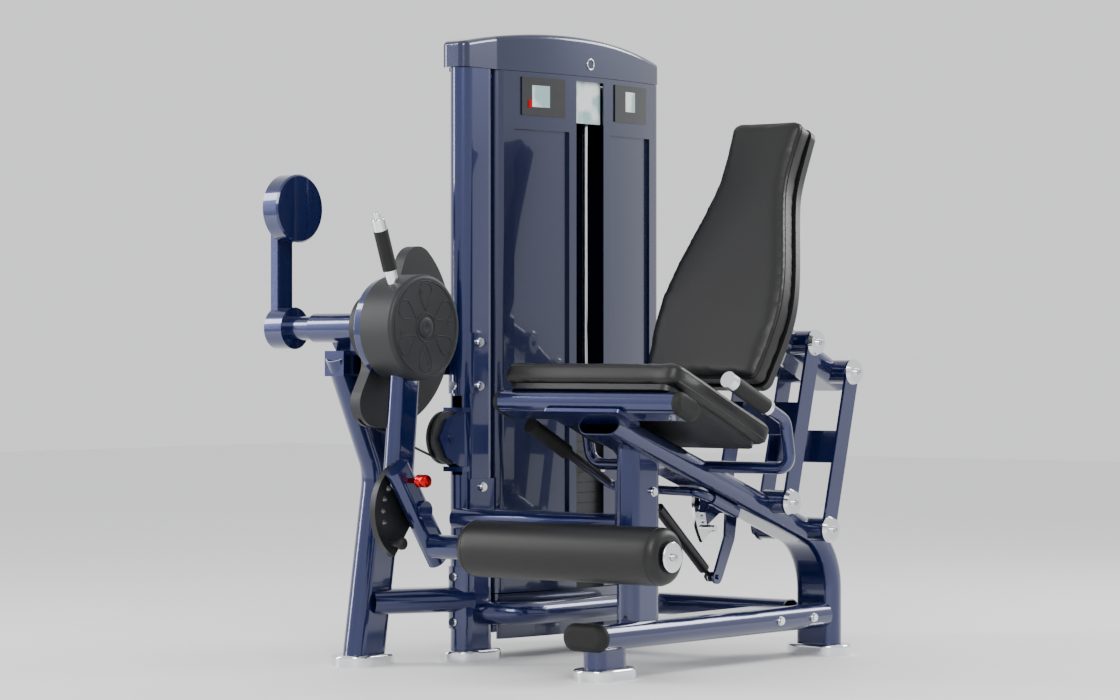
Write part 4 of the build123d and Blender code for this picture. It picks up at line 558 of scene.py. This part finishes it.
SEAT_SLOPE = math.radians(22.5)
BACK_SLOPE = math.radians(24.7)
SEAT_UP = Vector((0, math.sin(SEAT_SLOPE), math.cos(SEAT_SLOPE)))
BACK_OUT = Vector((0, math.cos(BACK_SLOPE), -math.sin(BACK_SLOPE)))
SEAT_FRONT = at(0, -80, 682)
BACK_FOOT = at(0, 353, 680)
ROLLER_SEAM_X = 262
welt("seat_welt", seat, SEAT_FRONT + SEAT_UP * 0.038, SEAT_UP, 1.3, leatherette, "frame")
welt("seat_base_welt", seat, SEAT_FRONT + SEAT_UP * 0.010, SEAT_UP, 1.0, leatherette, "frame")
welt("back_welt", back, BACK_FOOT + BACK_OUT * 0.016, BACK_OUT, 1.3, leatherette, "back")
for end in (1, -1):
    welt("roller_seam", roller, at(end * ROLLER_SEAM_X, -137, 296), Vector((1, 0, 0)), 0.9, leatherette,
         "roller")

# %% [markdown]
# ## The round cover's face
# The moulded cover has a raised hub, a rim line and petal-shaped panels between four screw wells. Thin
# ridges drawn as bevelled curves follow each panel, and turned plugs stand for the wells.

# %% Cover face
COVER_FACE = -420.0


def ridge(name, points, radius_mm, material, body):
    """A closed bevelled curve through points."""
    data = bpy.data.curves.new(name, "CURVE")
    data.dimensions = "3D"
    data.bevel_depth = radius_mm * MM
    data.bevel_resolution = 2
    spline = data.splines.new("POLY")
    spline.points.add(len(points) - 1)
    for target, point in zip(spline.points, points):
        target.co = (*point, 1.0)
    spline.use_cyclic_u = True
    piece = bpy.data.objects.new(name, data)
    bpy.context.scene.collection.objects.link(piece)
    piece.data.materials.append(material)
    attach(piece, body)


def cover_point(radius, angle):
    return at(COVER_FACE, KNEE_Y + radius * math.cos(angle), KNEE_Z + radius * math.sin(angle))


PETAL_POINTS = 24
PETAL_MIDDLE = 72
PETAL_HALF_LENGTH = 32
PETAL_HALF_ANGLE = 0.33
for petal in range(6):
    middle_angle = math.radians(30 + 60 * petal)
    outline = []
    for k in range(PETAL_POINTS):
        turn = 2 * math.pi * k / PETAL_POINTS
        reach = PETAL_MIDDLE + PETAL_HALF_LENGTH * math.cos(turn)
        # a petal is wider towards the rim than towards the hub
        width = PETAL_HALF_ANGLE * math.sin(turn) * (0.75 + 0.25 * math.cos(turn))
        outline.append(cover_point(reach, middle_angle + width))
    ridge("cover_petal_" + str(petal), outline, 1.1, black_satin, "arm")
RING_POINTS = 64
for ring, radius in (("cover_hub_ring", 33), ("cover_rim_ring", 109)):
    ridge(ring, [cover_point(radius, 2 * math.pi * k / RING_POINTS) for k in range(RING_POINTS)], 1.2,
          black_satin, "arm")
WELL = ((6.5, -0.5), (6.5, 0.6), (5.2, 1.0), (4.4, -0.2), (1.0, -0.2))
WELL_REACH = 84
for well in range(4):
    turned("cover_well_" + str(well), cover_point(WELL_REACH, math.radians(8 + 90 * well)), (1, 0, 0), WELL,
           cable_sheath, "arm", 24)
BOSS = ((24, -0.5), (24, 1.5), (21, 3.0), (8, 3.4), (7.5, 2.4), (1, 2.4))
turned("cover_boss", cover_point(0, 0), (1, 0, 0), BOSS, black_abs, "arm")
print("cover face made")

# %% [markdown]
# ## Ring on the cap
# A plain chrome ring stands where a maker would put a badge. A closed bevelled curve makes it in one call.

# %% Ring on the cap
FACE_X = -498.0
CAP_RING_Z = 1462
CAP_RING_RADIUS = 13
CAP_RING_POINTS = 40
circle = [2 * math.pi * k / CAP_RING_POINTS for k in range(CAP_RING_POINTS)]
ridge("cap_ring", [at(FACE_X + 1.0, TOWER_MID_Y + CAP_RING_RADIUS * math.cos(angle),
                      CAP_RING_Z + CAP_RING_RADIUS * math.sin(angle)) for angle in circle],
      1.6, chrome_plate, "frame")
print("ring across mm:", 2 * CAP_RING_RADIUS)

# %% [markdown]
# ## Pull knob
# The knob that frees the ankle carrier is turned from aluminium and anodised red, with two finger grooves.
# The solid model has only its outline, so a turned profile replaces it.

# %% Pull knob
KNOB = ((6, -24), (6, 10), (12, 10), (15, 12), (15, 20), (12.5, 22), (12.5, 25), (15, 27), (15, 36), (13, 41),
        (8, 43), (1, 43))
KNOB_X = -376.0
KNOB_REACH = 86.0
KNOB_TURN = math.radians(55)
HUB_Y = KNEE_Y - ARM_REACH * math.sin(ARM_LEAN)
HUB_Z = KNEE_Z - ARM_REACH * math.cos(ARM_LEAN)
knob_place = at(KNOB_X, HUB_Y - KNOB_REACH * math.cos(KNOB_TURN), HUB_Z + KNOB_REACH * math.sin(KNOB_TURN))
knob_look = turned("pull_knob_look", knob_place, (1, 0, 0), KNOB, red_anodised, "knob")
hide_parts("pull_knob")
print("knob faces:", len(knob_look.data.polygons))

# %% [markdown]
# ## Blank panels on the placards
# Each placard carries a pale panel. The tower's face is bowed, so a flat rectangle would cut into it, and
# the panel is built as a strip of narrow steps along the same arc, with real thickness.

# %% Panels on the placards
BOW_RADIUS = 1700.0
PANEL_PROUD = 3.6
PANEL_THICK = 0.8
PANEL_STEPS = 8


def bowed_panel(name, step, low, high, half, material):
    """A thin sheet that follows the tower's bowed face, with real thickness."""
    rows = []
    for k in range(PANEL_STEPS + 1):
        y = TOWER_MID_Y + step + half * (2 * k / PANEL_STEPS - 1)
        x = FACE_X - BOW_RADIUS + math.sqrt((BOW_RADIUS + PANEL_PROUD) ** 2 - (y - TOWER_MID_Y) ** 2)
        rows.append((x, y))
    verts = [at(x + out, y, z) for x, y in rows for z in (low, high) for out in (0, PANEL_THICK)]
    faces = []
    for k in range(PANEL_STEPS):
        a, b = 4 * k, 4 * k + 4
        faces += [(a + 1, b + 1, b + 3, a + 3), (a, a + 2, b + 2, b),
                  (a, b, b + 1, a + 1), (a + 2, a + 3, b + 3, b + 2)]
    last = 4 * PANEL_STEPS
    faces += [(0, 1, 3, 2), (last, last + 2, last + 3, last + 1)]
    mesh = bpy.data.meshes.new(name)
    mesh.from_pydata(verts, [], faces)
    mesh.update()
    piece = bpy.data.objects.new(name, mesh)
    bpy.context.scene.collection.objects.link(piece)
    wear(piece, material)
    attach(piece, "frame")


bowed_panel("left_placard_panel", -188, 1345, 1398, 30, clear_card)
bowed_panel("left_placard_mark", -226, 1342, 1362, 6, red_anodised)
bowed_panel("right_placard_panel", 170, 1352, 1402, 22, clear_card)
print("panels made, each mm thick:", PANEL_THICK)

# %% [markdown]
# ## Camera
# A long lens from far away keeps the tower's edges nearly parallel, as in a catalogue. The camera stands a
# little above the seat's height and looks level, so its place and one direction say everything.

# %% Camera
SENSOR_MM = 36.0
LENS_MM = 111.73
CLIP_END = 60


def camera_at(point, aim, lens):
    data = bpy.data.cameras.new("camera")
    data.lens = lens
    data.sensor_width = SENSOR_MM
    data.clip_end = CLIP_END
    camera = bpy.data.objects.new("camera", data)
    camera.location = point
    camera.rotation_euler = (aim - point).to_track_quat("-Z", "Y").to_euler()
    bpy.context.scene.collection.objects.link(camera)
    bpy.context.scene.camera = camera


CAMERA_BENCH = at(4834.0, -6249.0, 750.0)
LOOK = Vector((-0.622, 0.783, 0.0))
camera_at(CAMERA_BENCH, CAMERA_BENCH + LOOK, LENS_MM)
print("camera distance m:", round(CAMERA_BENCH.length, 2))

# %% [markdown]
# ## Floor and soft light
# A wide pale floor and an almost white surround light the machine from everywhere. Three soft boxes then
# draw the long highlights on the clear coat: a tall key, a narrow strip from the left and a rim light from
# behind.

# %% Floor and surround
FLOOR_HALF = 14
SURROUND_STRENGTH = 1.1
floor_mesh = bpy.data.meshes.new("studio_floor")
corners = [(x * FLOOR_HALF, y * FLOOR_HALF, 0) for x, y in ((-1, -1), (1, -1), (1, 1), (-1, 1))]
floor_mesh.from_pydata(corners, [], [(0, 1, 2, 3)])
studio_floor = bpy.data.objects.new("studio_floor", floor_mesh)
bpy.context.scene.collection.objects.link(studio_floor)
wear(studio_floor, start_material("pale studio floor", "#F2F2F1", 0.0, 0.6)[0])

world = bpy.data.worlds.new("studio") if not bpy.context.scene.world else bpy.context.scene.world
bpy.context.scene.world = world
world.use_nodes = True
surround = world.node_tree.nodes["Background"]
surround.inputs["Color"].default_value = linear("#FAFBFC")
surround.inputs["Strength"].default_value = SURROUND_STRENGTH
print("floor across m:", 2 * FLOOR_HALF)


# %% Soft boxes
def soft_box(name, point, aim, size, power):
    data = bpy.data.lights.new(name, "AREA")
    data.shape = "RECTANGLE"
    data.size, data.size_y = size
    data.energy = power
    lamp = bpy.data.objects.new(name, data)
    lamp.location = point
    lamp.rotation_euler = (Vector(aim) - Vector(point)).to_track_quat("-Z", "Y").to_euler()
    bpy.context.scene.collection.objects.link(lamp)


soft_box("key", (2.6, -3.4, 3.2), (0, 0, 0.8), (1.6, 2.4), 150)
soft_box("strip left", (-3.2, -2.6, 2.0), (0, 0, 0.8), (0.6, 3.0), 110)
soft_box("rim", (1.8, 3.6, 2.8), (0, 0, 0.9), (2.0, 1.4), 120)
print("lights:", len(bpy.data.lights))
